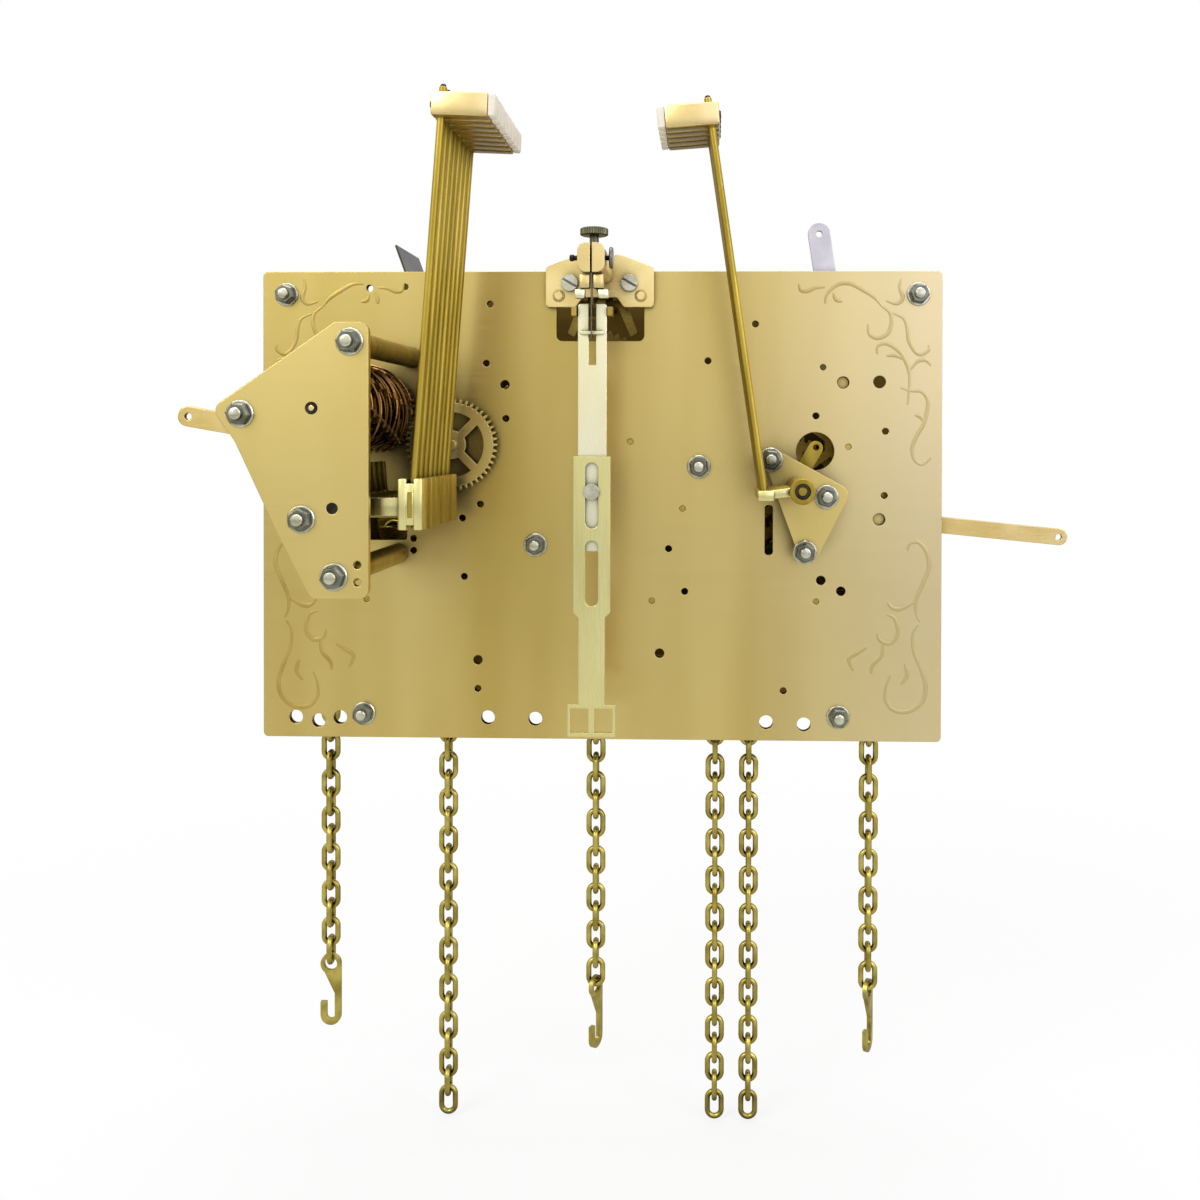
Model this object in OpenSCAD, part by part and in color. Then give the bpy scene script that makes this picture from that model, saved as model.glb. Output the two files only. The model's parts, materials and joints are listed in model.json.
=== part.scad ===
// Longcase clock movement, chain driven, with chime and strike hammers.
// X runs to the right as seen from behind, Y towards the dial and Z up.
// The origin lies midway between the seat board screws, on the line of the plates' bottom edges.

/* [Plates] */
// Width of both plates
plate_w = 215; // [205:1:230]
// Height of both plates
plate_h = 148; // [146:1:160]
// Thickness of both plates
plate_t = 2.4; // [2:0.1:3]
// Clear space between the plates
plate_gap = 52; // [50:1:60]
// Radius of the plates' corners
plate_corner = 1.5; // [0.5:0.5:4]
// Distance of the top pillars from the middle
pillar_x = 100; // [94:0.5:100]
// Height of the top pillars
pillar_z = 140.8; // [136:0.2:141]
// Radius of the top pillars
pillar_r = 5; // [3.5:0.5:6]
// Distance of the seat board pillars from the middle
seat_x = 75.3; // [74:0.1:78]
// Height of the seat board pillars
seat_z = 7.6; // [7.2:0.1:8.4]
// Radius of the seat board pillars
seat_r = 6; // [5:0.5:6.5]
// Radius of the seat board screw holes
seat_hole_r = 2.5; // [2:0.1:2.8]
// Radius of the bosses under the bottom pillars
seat_boss_r = 4.6; // [4:0.1:5]

/* [Fasteners] */
// Radius of the threaded ends of pillars and posts
thread_r = 1.5; // [1.3:0.05:1.8]
// Width of a nut across its flats
nut_flats = 5.5; // [5:0.1:6]
// Height of a nut
nut_h = 2.4; // [2:0.1:3]
// Radius of a washer
washer_r = 3.7; // [3.4:0.1:4.2]
// Thickness of a washer
washer_t = 0.6; // [0.4:0.1:1]
// Length of thread that shows past a nut
thread_proud = 1; // [0.4:0.1:2]

/* [Chime hammers] */
// Distance of the chime bracket from the back plate
bracket_standoff = 65; // [64:1:75]
// Thickness of the chime bracket
bracket_t = 2; // [1.5:0.1:3]
// Radius of the chime bracket's posts
bracket_post_r = 3.2; // [2.8:0.1:3.3]
// Distance of the first chime hammer from the back plate
hammer_start = 16; // [15:0.5:17]
// Spacing of the hammers along their arbor
hammer_pitch = 5.8; // [5.4:0.1:6]
// Length of a hammer head
head_l = 15.5; // [13:0.5:17]
// Height of a hammer head
head_h = 6.6; // [5:0.2:8]
// Thickness of a hammer head along the arbor
head_t = 5.2; // [4.4:0.1:5.3]
// Length of the soft tip on a head
tip_l = 2.2; // [1.5:0.1:3]
// Radius of a hammer rod
rod_r = 1.05; // [0.9:0.05:1.5]
// Radius of the chime drum's cams
cam_r = 14.4; // [12.5:0.1:14.6]

/* [Strike hammers] */
// Number of strike hammers
strike_hammers = 5; // [3:1:5]
// Distance of the strike bracket from the back plate
strike_standoff = 8.5; // [7:0.5:9.5]
// Thickness of the strike bracket
strike_bracket_t = 1.8; // [1.5:0.1:2]

/* [Pendulum] */
// Distance of the pendulum leader from the back plate
leader_standoff = 25; // [22:0.5:30]
// Thickness of the leader strips
leader_t = 1.2; // [0.8:0.1:1.6]
// Width of the leader's upper strip
leader_w = 8.5; // [7:0.5:9]
// Width of the slotted part of the leader
slotted_w = 11; // [10:0.5:13]
// Width of the slots
slot_w = 3.8; // [3:0.2:4.2]
// Width of the loop that takes the pendulum
loop_w = 14.2; // [13.6:0.2:16]
// Height of the loop
loop_h = 9.6; // [9:0.2:11]
// Width of the bars around the loop
loop_bar = 1.2; // [1:0.1:1.5]

/* [Wheel train] */
// Module of the great wheels' and chime and strike wheels' teeth
train_module = 0.75; // [0.74:0.01:0.76]
// Module of the centre and third wheels' teeth
going_module = 0.58; // [0.57:0.01:0.6]
// Thickness of the train wheels
wheel_t = 1.6; // [1.2:0.1:2]
// Radius of the arbors
arbor_r = 1.6; // [1.3:0.1:1.8]
// Radius of the pivots
pivot_r = 0.95; // [0.8:0.05:1.1]
// Radius of the escape wheel
escape_r = 13; // [11:0.5:13]

/* [Chains] */
// Distance between the middles of two links
link_pitch = 6.35; // [6.25:0.05:6.45]
// Radius of the chain wire
wire_r = 0.9; // [0.8:0.05:0.95]
// Radius of a link's rounded end, to the middle of the wire
link_end_r = 2.35; // [2.25:0.05:2.5]
// Links in a hanging loose end
loose_links = 28; // [20:1:30]

/* [Hidden] */
$fn = 48;

// Colours
brass = "#cbb568";
pale_brass = "#e3d795";
steel = "#a9adab";
zinc = "#c5c9c6";
copper = "#8a5a34";
chain_brass = "#a8994a";

// Clearances
fit_gap = 0.05;
run_gap = 0.06;
hole_gap = 0.1;
side_gap = 0.3;
cut_past = 1;

// Faces of the plates along Y
back_in = -plate_gap / 2;
back_out = back_in - plate_t;
front_in = plate_gap / 2;
front_out = front_in + plate_t;

// Brackets behind the back plate
chime_hammers = 8;
bracket_in = back_out - bracket_standoff;
bracket_out = bracket_in - bracket_t;
strike_in = back_out - strike_standoff;
strike_out = strike_in - strike_bracket_t;
chime_posts = [[-60.2, 120.8], [-89.4, 101.7], [-73.1, 73.8], [-64.4, 58.6]];
strike_posts = [[53.4, 88.9], [70.5, 77.5], [63.9, 60.5]];
strike_post_r = 2.6;

// Chains
wrap_links = 10;
sprocket_r = wrap_links * link_pitch / PI;
link_gap = 0.3;
link_fn = 24;
link_l = link_pitch + 4 * wire_r + link_gap;
link_straight = link_l - 2 * (link_end_r + wire_r);
link_reach = link_straight / 2 + link_end_r;
groove_gap = 0.5;
groove_half = link_end_r + wire_r + groove_gap;
cheek_t = 1.2;
cheek_over = 1;
strand_gap = 11.37;

// Train layout: each arbor is set from the one that drives it
great_teeth = 72;
wheel_teeth = 60;
centre_teeth = 80;
third_teeth = 75;
pinion_leaves = 10;
great_r = great_teeth * train_module / 2;
wheel_r = wheel_teeth * train_module / 2;
pinion_r = pinion_leaves * train_module / 2;
great_step = great_r + pinion_r;
wheel_step = wheel_r + pinion_r;
function beside(from, dx, step) = [from.x + dx, from.y + sqrt(step * step - dx * dx)];

// The point on the right that lies ra from a and rb from b
function between(a, ra, b, rb) =
  let (d = norm(b - a), along = (ra * ra - rb * rb + d * d) / (2 * d), u = (b - a) / d)
  a + u * along + [u.y, -u.x] * sqrt(ra * ra - along * along);
drive_z = 44;
centre_z = 70;
third_x = 9.5;
time_1 = [16.4, drive_z];
time_3 = [0, centre_z];
time_2 = between(time_1, great_step, time_3, wheel_step);
time_4 = beside(time_3, third_x, (centre_teeth + pinion_leaves) * going_module / 2);
time_5 = beside(time_4, -third_x, (third_teeth + pinion_leaves) * going_module / 2);
chime_1 = [-74.4, drive_z];
chime_2 = beside(chime_1, 18, great_step);
chime_3 = beside(chime_2, 10, wheel_step);
chime_4 = beside(chime_3, -6, wheel_step);
chime_5 = beside(chime_4, -9.6, wheel_step);
strike_1 = [time_1.x + 2 * sprocket_r + strand_gap, drive_z];
strike_2 = beside(strike_1, -8, great_step);
strike_3 = beside(strike_2, 18, wheel_step);
strike_4 = beside(strike_3, -8, wheel_step);
train_arbors = [time_1, time_2, time_3, time_4, time_5, chime_1, chime_2, chime_3, chime_4, chime_5,
                strike_1, strike_2, strike_3, strike_4];
pivot_hole_r = pivot_r + run_gap;

// Wheel layers along Y
great_layer = 8;
strike_great_layer = -great_layer - wheel_t;
outer_layer = 15;
inner_layer = 4;
rear_layer = -14;
escape_layer = -20.5;
pinion_l = 5;

// Chime drum, driven by the ratio wheel behind the back plate
ratio_teeth = 46;
drum_teeth = 40;
ratio_module = 0.605;
ratio_spoke_turn = 45;
ratio_step = (ratio_teeth + drum_teeth) * ratio_module / 2;
drum_dx = -24;
drum = beside(chime_3, drum_dx, ratio_step);
ratio_gap = 4.5;
ratio_end = 1;
ratio_layer = back_out - ratio_gap;
hammer_pivot = [-64.9, 76.7];
hammer_arbor_r = 1.5;
hammer_hub_r = 3;

// Strike hammers turn on an arbor that stands out of the strike bracket
strike_pivot = [60.9, 80.5];
strike_arbor_r = 1.5;
thread_out = washer_t + nut_h + thread_proud;
strike_start = strike_standoff + strike_bracket_t + thread_out + rod_r + side_gap;

// Pendulum and verge turn about one axis
verge_z = 142;
leader_back = back_out - leader_standoff;
leader_front = leader_back - leader_t;
lower_front = leader_front - leader_t;
window_w = 27.8;
window_low = 126;
window_high = 144.6;
window_round = 1.8;
window_cover = 0.6;
verge_notch_w = 8;
verge_notch_up = 6;
port_round = 1;
cock_t = 2.5;
cock_out = back_out - cock_t;

// Shapes in the plane of the plates
function unit(v) = v / norm(v);
function turned(v, a) = [v.x * cos(a) - v.y * sin(a), v.x * sin(a) + v.y * cos(a)];
function heading(from, to) = atan2(to.y - from.y, to.x - from.x);

// Points of an arc that rounds the corner p between its neighbours a and b
function corner_arc(a, p, b, r, steps = 6) =
  let (u = unit(a - p), w = unit(b - p), half = acos(u * w) / 2)
  let (centre = p + unit(u + w) * r / sin(half))
  let (s = p + u * r / tan(half) - centre, e = p + w * r / tan(half) - centre)
  let (turn = atan2(s.x * e.y - s.y * e.x, s * e))
  [for (k = [0:steps]) centre + turned(s, turn * k / steps)];

function rounded(points, r) =
  let (n = len(points))
  [for (i = [0:n - 1]) each corner_arc(points[(i + n - 1) % n], points[i], points[(i + 1) % n], r)];

function box_points(x0, z0, x1, z1) = [[x0, z0], [x1, z0], [x1, z1], [x0, z1]];
function rect_points(r) = box_points(r[0], r[1], r[2], r[3]);

// Outline of a strip from one point to another, with square ends past both
function strip_points(from, to, w, past = 0) =
  let (u = unit(to - from), side = [-u.y, u.x] * w / 2)
  [from - u * past - side, to + u * past - side, to + u * past + side, from - u * past + side];

// A flat shape set up in the plane of the plates, from y0 to y0 + t
module sheet(y0, t) {
  translate([0, y0 + t, 0]) rotate([90, 0, 0]) linear_extrude(t) children();
}

// A round bar along Y
module bar(at, y0, y1, r) {
  translate([at.x, y1, at.y]) rotate([90, 0, 0]) cylinder(h = y1 - y0, r = r);
}

// A round hole along Y
module bore(at, y0, y1, r) {
  bar(at, y0 - cut_past, y1 + cut_past, r);
}

// A box from its lowest to its highest corner
module block(low, high) {
  translate(low) cube(high - low);
}

// A washer and a nut on a threaded end that points along -Y or +Y from a face
module washer(at, face, out) {
  y0 = out < 0 ? face - washer_t : face;
  difference() {
    bar(at, y0, y0 + washer_t, washer_r);
    bore(at, y0, y0 + washer_t, thread_r + hole_gap);
  }
}

module nut(at, face, out) {
  start = face + out * washer_t;
  y0 = out < 0 ? start - nut_h : start;
  difference() {
    translate([at.x, y0 + nut_h, at.y]) rotate([90, 0, 0])
      cylinder(h = nut_h, r = nut_flats / sqrt(3), $fn = 6);
    bore(at, y0, y0 + nut_h, thread_r + fit_gap);
  }
}

module fastening(at, face, out) {
  washer(at, face, out);
  nut(at, face, out);
}

// Teeth: each tooth is a root, flank and tip, given as shares of the pitch angle
root_share = 0.24;
flank_share = 0.2;
tip_share = 0.07;
function tooth_points(teeth, m, add, ded, phase, slim = 1) =
  let (r = teeth * m / 2, pitch = 360 / teeth)
  [for (i = [0:teeth - 1])
    let (a = phase + i * pitch)
    each [for (p = [[-root_share, -ded], [-flank_share, 0], [-tip_share, add],
                    [tip_share, add], [flank_share, 0], [root_share, -ded]])
      (r + p.y * m) * [cos(a + p.x * slim * pitch), sin(a + p.x * slim * pitch)]]];

// Turn of a wheel that puts a gap where the driver's tooth comes
function mesh_phase(from, to, teeth_a, teeth_b) =
  let (a = heading(from, to), pitch_a = 360 / teeth_a, pitch_b = 360 / teeth_b)
  a + 180 - pitch_b * (0.5 - a / pitch_a);

wheel_add = 0.9;
wheel_ded = 1.25;
leaf_add = 0.7;
leaf_slim = 0.8;
rim_w = 3;
spoke_w = 2.6;
hub_r = 4.5;
great_hub_r = 5.5;

// Openings between the spokes of a wheel
module crossings(r_rim, count) {
  difference() {
    circle(r_rim);
    circle(hub_r);
    for (i = [0:count - 1])
      rotate(i * 360 / count) translate([0, -spoke_w / 2]) square([r_rim + 1, spoke_w]);
  }
}

// A spoked wheel with its teeth, from y0 to y0 + wheel_t
module wheel(at, teeth, m, y0, phase = 0, spokes = 5, spoke_turn = 0) {
  translate([at.x, 0, at.y]) sheet(y0, wheel_t) difference() {
    polygon(tooth_points(teeth, m, wheel_add, wheel_ded, phase));
    rotate(spoke_turn) crossings(teeth * m / 2 - wheel_ded * m - rim_w, spokes);
  }
}

// A pinion that meshes with the wheel before it, centred on that wheel's layer
module pinion(from, at, teeth, layer, m = train_module) {
  translate([at.x, 0, at.y]) sheet(layer + wheel_t / 2 - pinion_l / 2, pinion_l)
    polygon(tooth_points(pinion_leaves, m, leaf_add, wheel_ded,
                         mesh_phase(from, at, teeth, pinion_leaves), leaf_slim));
}

// An arbor between the plates, with a pivot in each plate
module arbor(at, rear = back_in + side_gap) {
  bar(at, rear, front_in - side_gap, arbor_r);
  bar(at, back_out + side_gap, front_out - side_gap, pivot_r);
}

// Plates and pillars
top_pillars = [[-pillar_x, pillar_z], [pillar_x, pillar_z]];
seat_pillar_at = [[-seat_x, seat_z], [seat_x, seat_z]];
stud_at = [[-20.5, 61.5], [31.2, 86.4]];
stud_r = 3.5;
stud_l = 4;
see_through_at = [
  [-97.1, 6.3], [-89.8, 5.2], [-82.9, 6.3], [-35.6, 6.6], [-20.5, 6.3], [52.6, 5.8], [64.5, 5.2]
];
see_through_r = 2.2;
large_hole_at = [[-30.3, 112.2], [-38.8, 24.9], [18.9, 27.4], [76, 47.3], [69.7, 50.7]];
large_hole_r = 1.5;
small_hole_at = [
  [-35, 137.7], [-36.2, 119], [-30, 101.5], [-73.4, 142.8], [-43.2, 51.4], [-38.1, 74.4], [-43.8, 70],
  [-59.4, 63.4], [-59.4, 59.6], [-38.8, 15.8], [21.7, 60.5], [26.8, 47], [89.8, 97.7],
  [89.5, 77.5], [58, 15.8], [68, 102.5], [34, 119.8], [48.9, 131.4]
];
small_hole_r = 1.1;
banking_hole_at = [87.9, 113.2];
banking_hole_r = 2;
strike_lever_at = [87.9, 70];
silence_lever_beside = 6.304644;
silence_lever_at = [strike_4.x + silence_lever_beside, 113];
lever_pin_r = 1.9;
lever_t = 1.6;
hammer_port = [-74, 62.8, -61.4, 70];
strike_slot = [52, 58.6, 54.6, 74.4];
strike_port_at = [67.8, 91.4];
strike_port_r = 6;
dial_foot_x = 88;
dial_foot_z = [34, 126];
dial_foot_r = 1.6;
hand_shaft_r = 1.5;
hand_shaft_l = 21;
hand_bush_r = 1.8;
hand_bush_out = 1;

module plate_outline() {
  polygon(rounded(box_points(-plate_w / 2, 0, plate_w / 2, plate_h), plate_corner));
}

// Holes that go through both plates
module shared_holes(y0, y1) {
  for (at = concat(top_pillars, seat_pillar_at)) bore(at, y0, y1, thread_r + hole_gap);
  for (at = see_through_at) bore(at, y0, y1, see_through_r);
}

module back_plate() color(brass) difference() {
  sheet(back_out, plate_t) difference() {
    plate_outline();
    polygon(rounded(box_points(-window_w / 2, window_low, window_w / 2, cock_arch_z - window_cover),
                    window_round));
    polygon(rounded(box_points(-verge_notch_w / 2, window_low + verge_notch_up,
                               verge_notch_w / 2, window_high), port_round));
    polygon(rounded(rect_points(hammer_port), port_round));
    polygon(rounded(rect_points(strike_slot), port_round));
  }
  shared_holes(back_out, back_in);
  for (at = concat(chime_posts, strike_posts, stud_at)) bore(at, back_out, back_in, thread_r + hole_gap);
  for (at = train_arbors) bore(at, back_out, back_in, pivot_hole_r);
  bore(chime_3, back_out, back_in, arbor_r + run_gap);
  bore(drum, back_out, back_in, pivot_hole_r);
  bore(hammer_pivot, back_out, back_in, hammer_arbor_r + fit_gap);
  bore(strike_pivot, back_out, back_in, strike_arbor_r + run_gap);
  bore(strike_port_at, back_out, back_in, strike_port_r);
  for (at = large_hole_at) bore(at, back_out, back_in, large_hole_r);
  for (at = small_hole_at) bore(at, back_out, back_in, small_hole_r);
  bore(banking_hole_at, back_out, back_in, banking_hole_r);
  for (at = [strike_lever_at, silence_lever_at]) bore(at, back_out, back_in, lever_pin_r + run_gap);
  for (at = cock_screw_at) bore(at, back_out, back_in, cock_screw_r + hole_gap);
}

module front_plate() color(brass) difference() {
  sheet(front_in, plate_t) plate_outline();
  shared_holes(front_in, front_out);
  for (at = train_arbors) if (at != time_3) bore(at, front_in, front_out, pivot_hole_r);
  bore([0, verge_z], front_in, front_out, pivot_hole_r);
  bore(time_3, front_in, front_out, hand_bush_r + run_gap);
  for (x = [-dial_foot_x, dial_foot_x], z = dial_foot_z) bore([x, z], front_in, front_out, dial_foot_r);
}

// A pillar between the plates with a threaded end through each
module pillar(at, r) {
  bar(at, back_in, front_in, r);
  bar(at, back_out - thread_out, front_out + thread_out, thread_r);
}

module plate_pillars() color(brass) {
  for (at = top_pillars) pillar(at, pillar_r);
  for (at = stud_at) {
    bar(at, back_in, back_in + stud_l, stud_r);
    bar(at, back_out - thread_out, back_in + stud_l, thread_r);
  }
}

module seat_pillars() color(brass) for (at = seat_pillar_at) difference() {
  union() {
    pillar(at, seat_r);
    translate([at.x, 0, 0]) cylinder(h = seat_z, r = seat_boss_r);
  }
  translate([at.x, 0, -cut_past]) cylinder(h = seat_z + seat_r / 2 + cut_past, r = seat_hole_r);
}

module pillar_nuts() color(zinc) {
  for (at = concat(top_pillars, seat_pillar_at)) fastening(at, front_out, 1);
  for (at = concat(top_pillars, seat_pillar_at, stud_at)) fastening(at, back_out, -1);
}

// Chime bracket with its drum and hammers
bracket_edge = 5.2;
bracket_right = -55.2;
bracket_low = 52.8;
bracket_foot = 6.2;
bracket_round = 2.6;
bracket_corners = [[-4, bracket_edge], [-7.6, 1.5], [-1.4, -7.4], [-6, -4.5]];
bracket_points = [
  [bracket_right, bracket_low], [bracket_right, chime_posts[0].y + bracket_edge],
  chime_posts[0] + bracket_corners[0], chime_posts[1] + bracket_corners[1],
  chime_posts[1] + bracket_corners[2], chime_posts[2] + bracket_corners[3],
  [chime_posts[3].x - bracket_foot, bracket_low]
];
bracket_hole_at = [[-58.2, 57.2], [-58.2, 61.8]];
bracket_hole_r = 1.1;

// A post that holds a bracket, with a threaded end through it and one in the back plate
module bracket_post(at, face, outer_face, r) {
  bar(at, face, back_out, r);
  bar(at, outer_face - thread_out, back_in - side_gap, thread_r);
}

module chime_bracket() color(brass) difference() {
  sheet(bracket_out, bracket_t) polygon(rounded(bracket_points, bracket_round));
  for (at = chime_posts) bore(at, bracket_out, bracket_in, thread_r + hole_gap);
  for (at = bracket_hole_at) bore(at, bracket_out, bracket_in, bracket_hole_r);
  bore(drum, bracket_out, bracket_in, pivot_hole_r);
  bore(hammer_pivot, bracket_out, bracket_in, hammer_arbor_r + fit_gap);
}

module bracket_posts() color(brass) {
  for (at = chime_posts) bracket_post(at, bracket_in, bracket_out, bracket_post_r);
  for (at = strike_posts) bracket_post(at, strike_in, strike_out, strike_post_r);
}

module bracket_nuts() color(zinc) {
  for (at = chime_posts) fastening(at, bracket_out, -1);
  for (at = strike_posts) fastening(at, strike_out, -1);
}

cam_lobes = 8;
cam_root_r = 12;
cam_module = 2 * cam_root_r / cam_lobes;
cam_foot = 0.2;
cam_t = 2.2;
drum_core_r = 8;
function hammer_y(i) = back_out - hammer_start - hammer_pitch * i;

module chime_drum() color(copper) {
  bar(drum, bracket_in + side_gap, back_out - side_gap, arbor_r);
  bar(drum, bracket_out + side_gap, back_in - side_gap, pivot_r);
  bar(drum, hammer_y(chime_hammers - 1) - cam_t, hammer_y(0) + cam_t, drum_core_r);
  wheel(drum, drum_teeth, ratio_module, ratio_layer, mesh_phase(chime_3, drum, ratio_teeth, drum_teeth), 4);
  for (i = [0:chime_hammers - 1])
    translate([drum.x, 0, drum.y]) sheet(hammer_y(i) - cam_t / 2, cam_t)
      polygon(tooth_points(cam_lobes, cam_module, (cam_r - cam_root_r) / cam_module, cam_foot,
                           i * 360 / cam_lobes / chime_hammers));
}

module chime_hammer_arbor() color(steel)
  bar(hammer_pivot, bracket_out + side_gap, back_in - side_gap, hammer_arbor_r);

// Hammer parts: the rod leans from its foot to its top, and the head is set on the rod
chime_foot = [-46, 80];
chime_top = [-37.6, 190.6];
chime_block = [-49.5, 70.4, -42.8, 84.4];
head_drop = 5;
head_back = 2.6;
hub_w = 4.6;
arm_t = 2.4;
arm_h = 5;
tail_end = [-1, 11.5];
arm_lap = 1;
block_round = 0.6;
tip_inset_y = 0.2;
tip_inset_z = 0.3;
tail_w = 3;

function lean(foot, top) = atan2(top.x - foot.x, top.y - foot.y);

// A rod from its foot to its top, at the place y along the arbor
module rod(foot, top, y, r) {
  translate([foot.x, y, foot.y]) rotate([0, lean(foot, top), 0]) cylinder(h = norm(top - foot), r = r);
}

// What follows is drawn on the rod, a little below its top; side is 1 to the right and -1 to the left
module on_rod(foot, top, y, side) {
  u = unit(top - foot);
  at = top - u * head_drop;
  translate([at.x, y, at.y]) rotate([0, lean(foot, top) / 2, 0])
    mirror([side < 0 ? 1 : 0, 0, 0]) children();
}

module head() block([-head_back, -head_t / 2, -head_h / 2], [head_l - head_back, head_t / 2, head_h / 2]);

module soft_tip() block([head_l - head_back + fit_gap, -head_t / 2 + tip_inset_y, -head_h / 2 + tip_inset_z],
                        [head_l - head_back + tip_l, head_t / 2 - tip_inset_y, head_h / 2 - tip_inset_z]);

module chime_hammer(i) {
  y = hammer_y(i - 1);
  color(brass) difference() {
    union() {
      bar(hammer_pivot, y - hub_w / 2, y + hub_w / 2, hammer_hub_r);
      sheet(y - arm_t / 2, arm_t)
        polygon(strip_points(hammer_pivot, [chime_block[0] + arm_lap, hammer_pivot.y], arm_h));
      sheet(y - arm_t / 2, arm_t) polygon(strip_points(hammer_pivot, hammer_pivot + tail_end, tail_w));
      sheet(y - head_t / 2, head_t)
        polygon(rounded(rect_points(chime_block), block_round));
      rod(chime_foot, chime_top, y, rod_r);
      on_rod(chime_foot, chime_top, y, 1) head();
    }
    bore(hammer_pivot, y - hub_w / 2, y + hub_w / 2, hammer_arbor_r + run_gap);
  }
  color("white") on_rod(chime_foot, chime_top, y, 1) soft_tip();
}

// Strike bracket and its hammers
strike_middle = (strike_posts[0] + strike_posts[1] + strike_posts[2]) / 3;
strike_edge = 8;
strike_round = 3.6;
strike_arm_h = 4;
strike_arm_drop = 1;
strike_foot = [50.4, 79];
strike_top = [33.9, 192];
strike_block = [48.4, 76.9, 53, 81.1];
lift_arm_end = [67.8, 92.6];
lift_arm_w = 4.6;
lift_arm_t = 1.8;
lift_arm_gap = 1.6;
lift_arm_past = 2;
lift_arm_round = 2.25;
collar_r = 3.2;
collar_t = 1.4;
function strike_y(i) = back_out - strike_start - hammer_pitch * i;

module strike_bracket() color(brass) difference() {
  sheet(strike_out, strike_bracket_t)
    polygon(rounded([for (p = strike_posts) p + unit(p - strike_middle) * strike_edge], strike_round));
  for (at = strike_posts) bore(at, strike_out, strike_in, thread_r + hole_gap);
  bore(strike_pivot, strike_out, strike_in, strike_arbor_r + run_gap);
}

module strike_arbor() color(brass) {
  arbor_end = strike_y(strike_hammers - 1) - hub_w / 2 - side_gap;
  bar(strike_pivot, arbor_end, back_in + stud_l, strike_arbor_r);
  bar(strike_pivot, arbor_end - collar_t, arbor_end, collar_r);
  bar(strike_pivot, back_in + side_gap, back_in + side_gap + collar_t, collar_r);
  lift_arm_rear = back_out - lift_arm_gap - lift_arm_t;
  difference() {
    sheet(lift_arm_rear, lift_arm_t)
      polygon(rounded(strip_points(strike_pivot, lift_arm_end, lift_arm_w, lift_arm_past), lift_arm_round));
    bore(lift_arm_end, lift_arm_rear, lift_arm_rear + lift_arm_t, lever_hole_r);
  }
}

module strike_hammer_rods() color(brass) for (i = [0:strike_hammers - 1]) difference() {
  union() {
    bar(strike_pivot, strike_y(i) - hub_w / 2, strike_y(i) + hub_w / 2, hammer_hub_r);
    sheet(strike_y(i) - arm_t / 2, arm_t)
      polygon(strip_points(strike_pivot, [strike_block[2] - arm_lap, strike_pivot.y - strike_arm_drop],
                           strike_arm_h));
    sheet(strike_y(i) - hub_w / 2, hub_w)
      polygon(rect_points(strike_block));
    rod(strike_foot, strike_top, strike_y(i), rod_r);
  }
  bore(strike_pivot, strike_y(i) - hub_w / 2, strike_y(i) + hub_w / 2, strike_arbor_r + fit_gap);
}

module strike_hammer_heads() for (i = [0:strike_hammers - 1]) {
  color(brass) difference() {
    on_rod(strike_foot, strike_top, strike_y(i), -1) head();
    rod(strike_foot, strike_top + unit(strike_top - strike_foot) * head_drop, strike_y(i), rod_r + fit_gap);
  }
  color("white") on_rod(strike_foot, strike_top, strike_y(i), -1) soft_tip();
}

// Suspension cock over the window, with the post that carries the pendulum
cock_arch_z = 139.6;
cock_points = [
  [-17, 136.5], [-7.6, 136.5], [-5.4, cock_arch_z], [5.4, cock_arch_z], [7.6, 136.5], [17, 136.5],
  [17, 149], [6.5, 153], [-6.5, 153], [-17, 149]
];
cock_screw_at = [[-9.4, 144], [9.4, 144]];
cock_screw_r = 1.4;
cock_round = 1.2;
driver_slot_w = 0.7;
driver_slot_d = 0.7;
driver_slot_angle = 30;
cock_head_r = 2.6;
cock_head_h = 1.6;
steady_at = [[-12.9, 140], [12.9, 140]];
steady_r = 1.3;
steady_proud = 0.5;
spring_t = 0.3;
spring_back = leader_back;
spring_low = 125;
spring_sunk = 1.8;
spring_pin_up = 1.5;
spring_out = 3.6;
spring_front = leader_front - spring_out;
post_low = 143.8;
post_h = 8.6;
post_high = post_low + post_h;
post_round = 2.4;
post_w = 8;
post_lip = 1.2;
post_front = spring_front - post_lip;
post_slot_w = 0.6;
spring_high = post_high - spring_sunk;
thumb_behind = 4.2;
thumb_y = spring_back + thumb_behind;
thumb_r = 4.2;
thumb_h = 2.4;
thumb_stem_r = 1.4;
thumb_lift = 3.4;
thumb_depth = 4;
thumb_room = 0.2;

module suspension_cock() color(brass) difference() {
  union() {
    sheet(cock_out, cock_t) polygon(rounded(cock_points, cock_round));
    for (at = steady_at) bar(at, cock_out - steady_proud, cock_out, steady_r);
  }
  for (at = cock_screw_at) bore(at, cock_out, back_out, cock_screw_r + hole_gap);
  bore([0, verge_z], cock_out, back_out, pivot_hole_r);
}

module cock_screws() color(zinc) for (at = cock_screw_at) difference() {
  union() {
    bar(at, cock_out - cock_head_h, cock_out, cock_head_r);
    bar(at, cock_out, back_in - side_gap, cock_screw_r);
  }
  translate([at.x, cock_out - cock_head_h, at.y]) rotate([0, driver_slot_angle, 0])
    block([-cock_head_r - cut_past, -cut_past, -driver_slot_w / 2],
          [cock_head_r + cut_past, driver_slot_d, driver_slot_w / 2]);
}

module suspension_post() color(pale_brass) difference() {
  sheet(post_front, cock_out - post_front)
    polygon(rounded(box_points(-post_w / 2, post_low, post_w / 2, post_high), post_round));
  block([-post_slot_w / 2, post_front - cut_past, post_low - cut_past],
        [post_slot_w / 2, spring_back + side_gap, post_high + cut_past]);
  translate([0, thumb_y, post_high - thumb_depth - thumb_room])
    cylinder(h = thumb_depth + thumb_room + cut_past, r = thumb_stem_r + run_gap);
}

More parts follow.
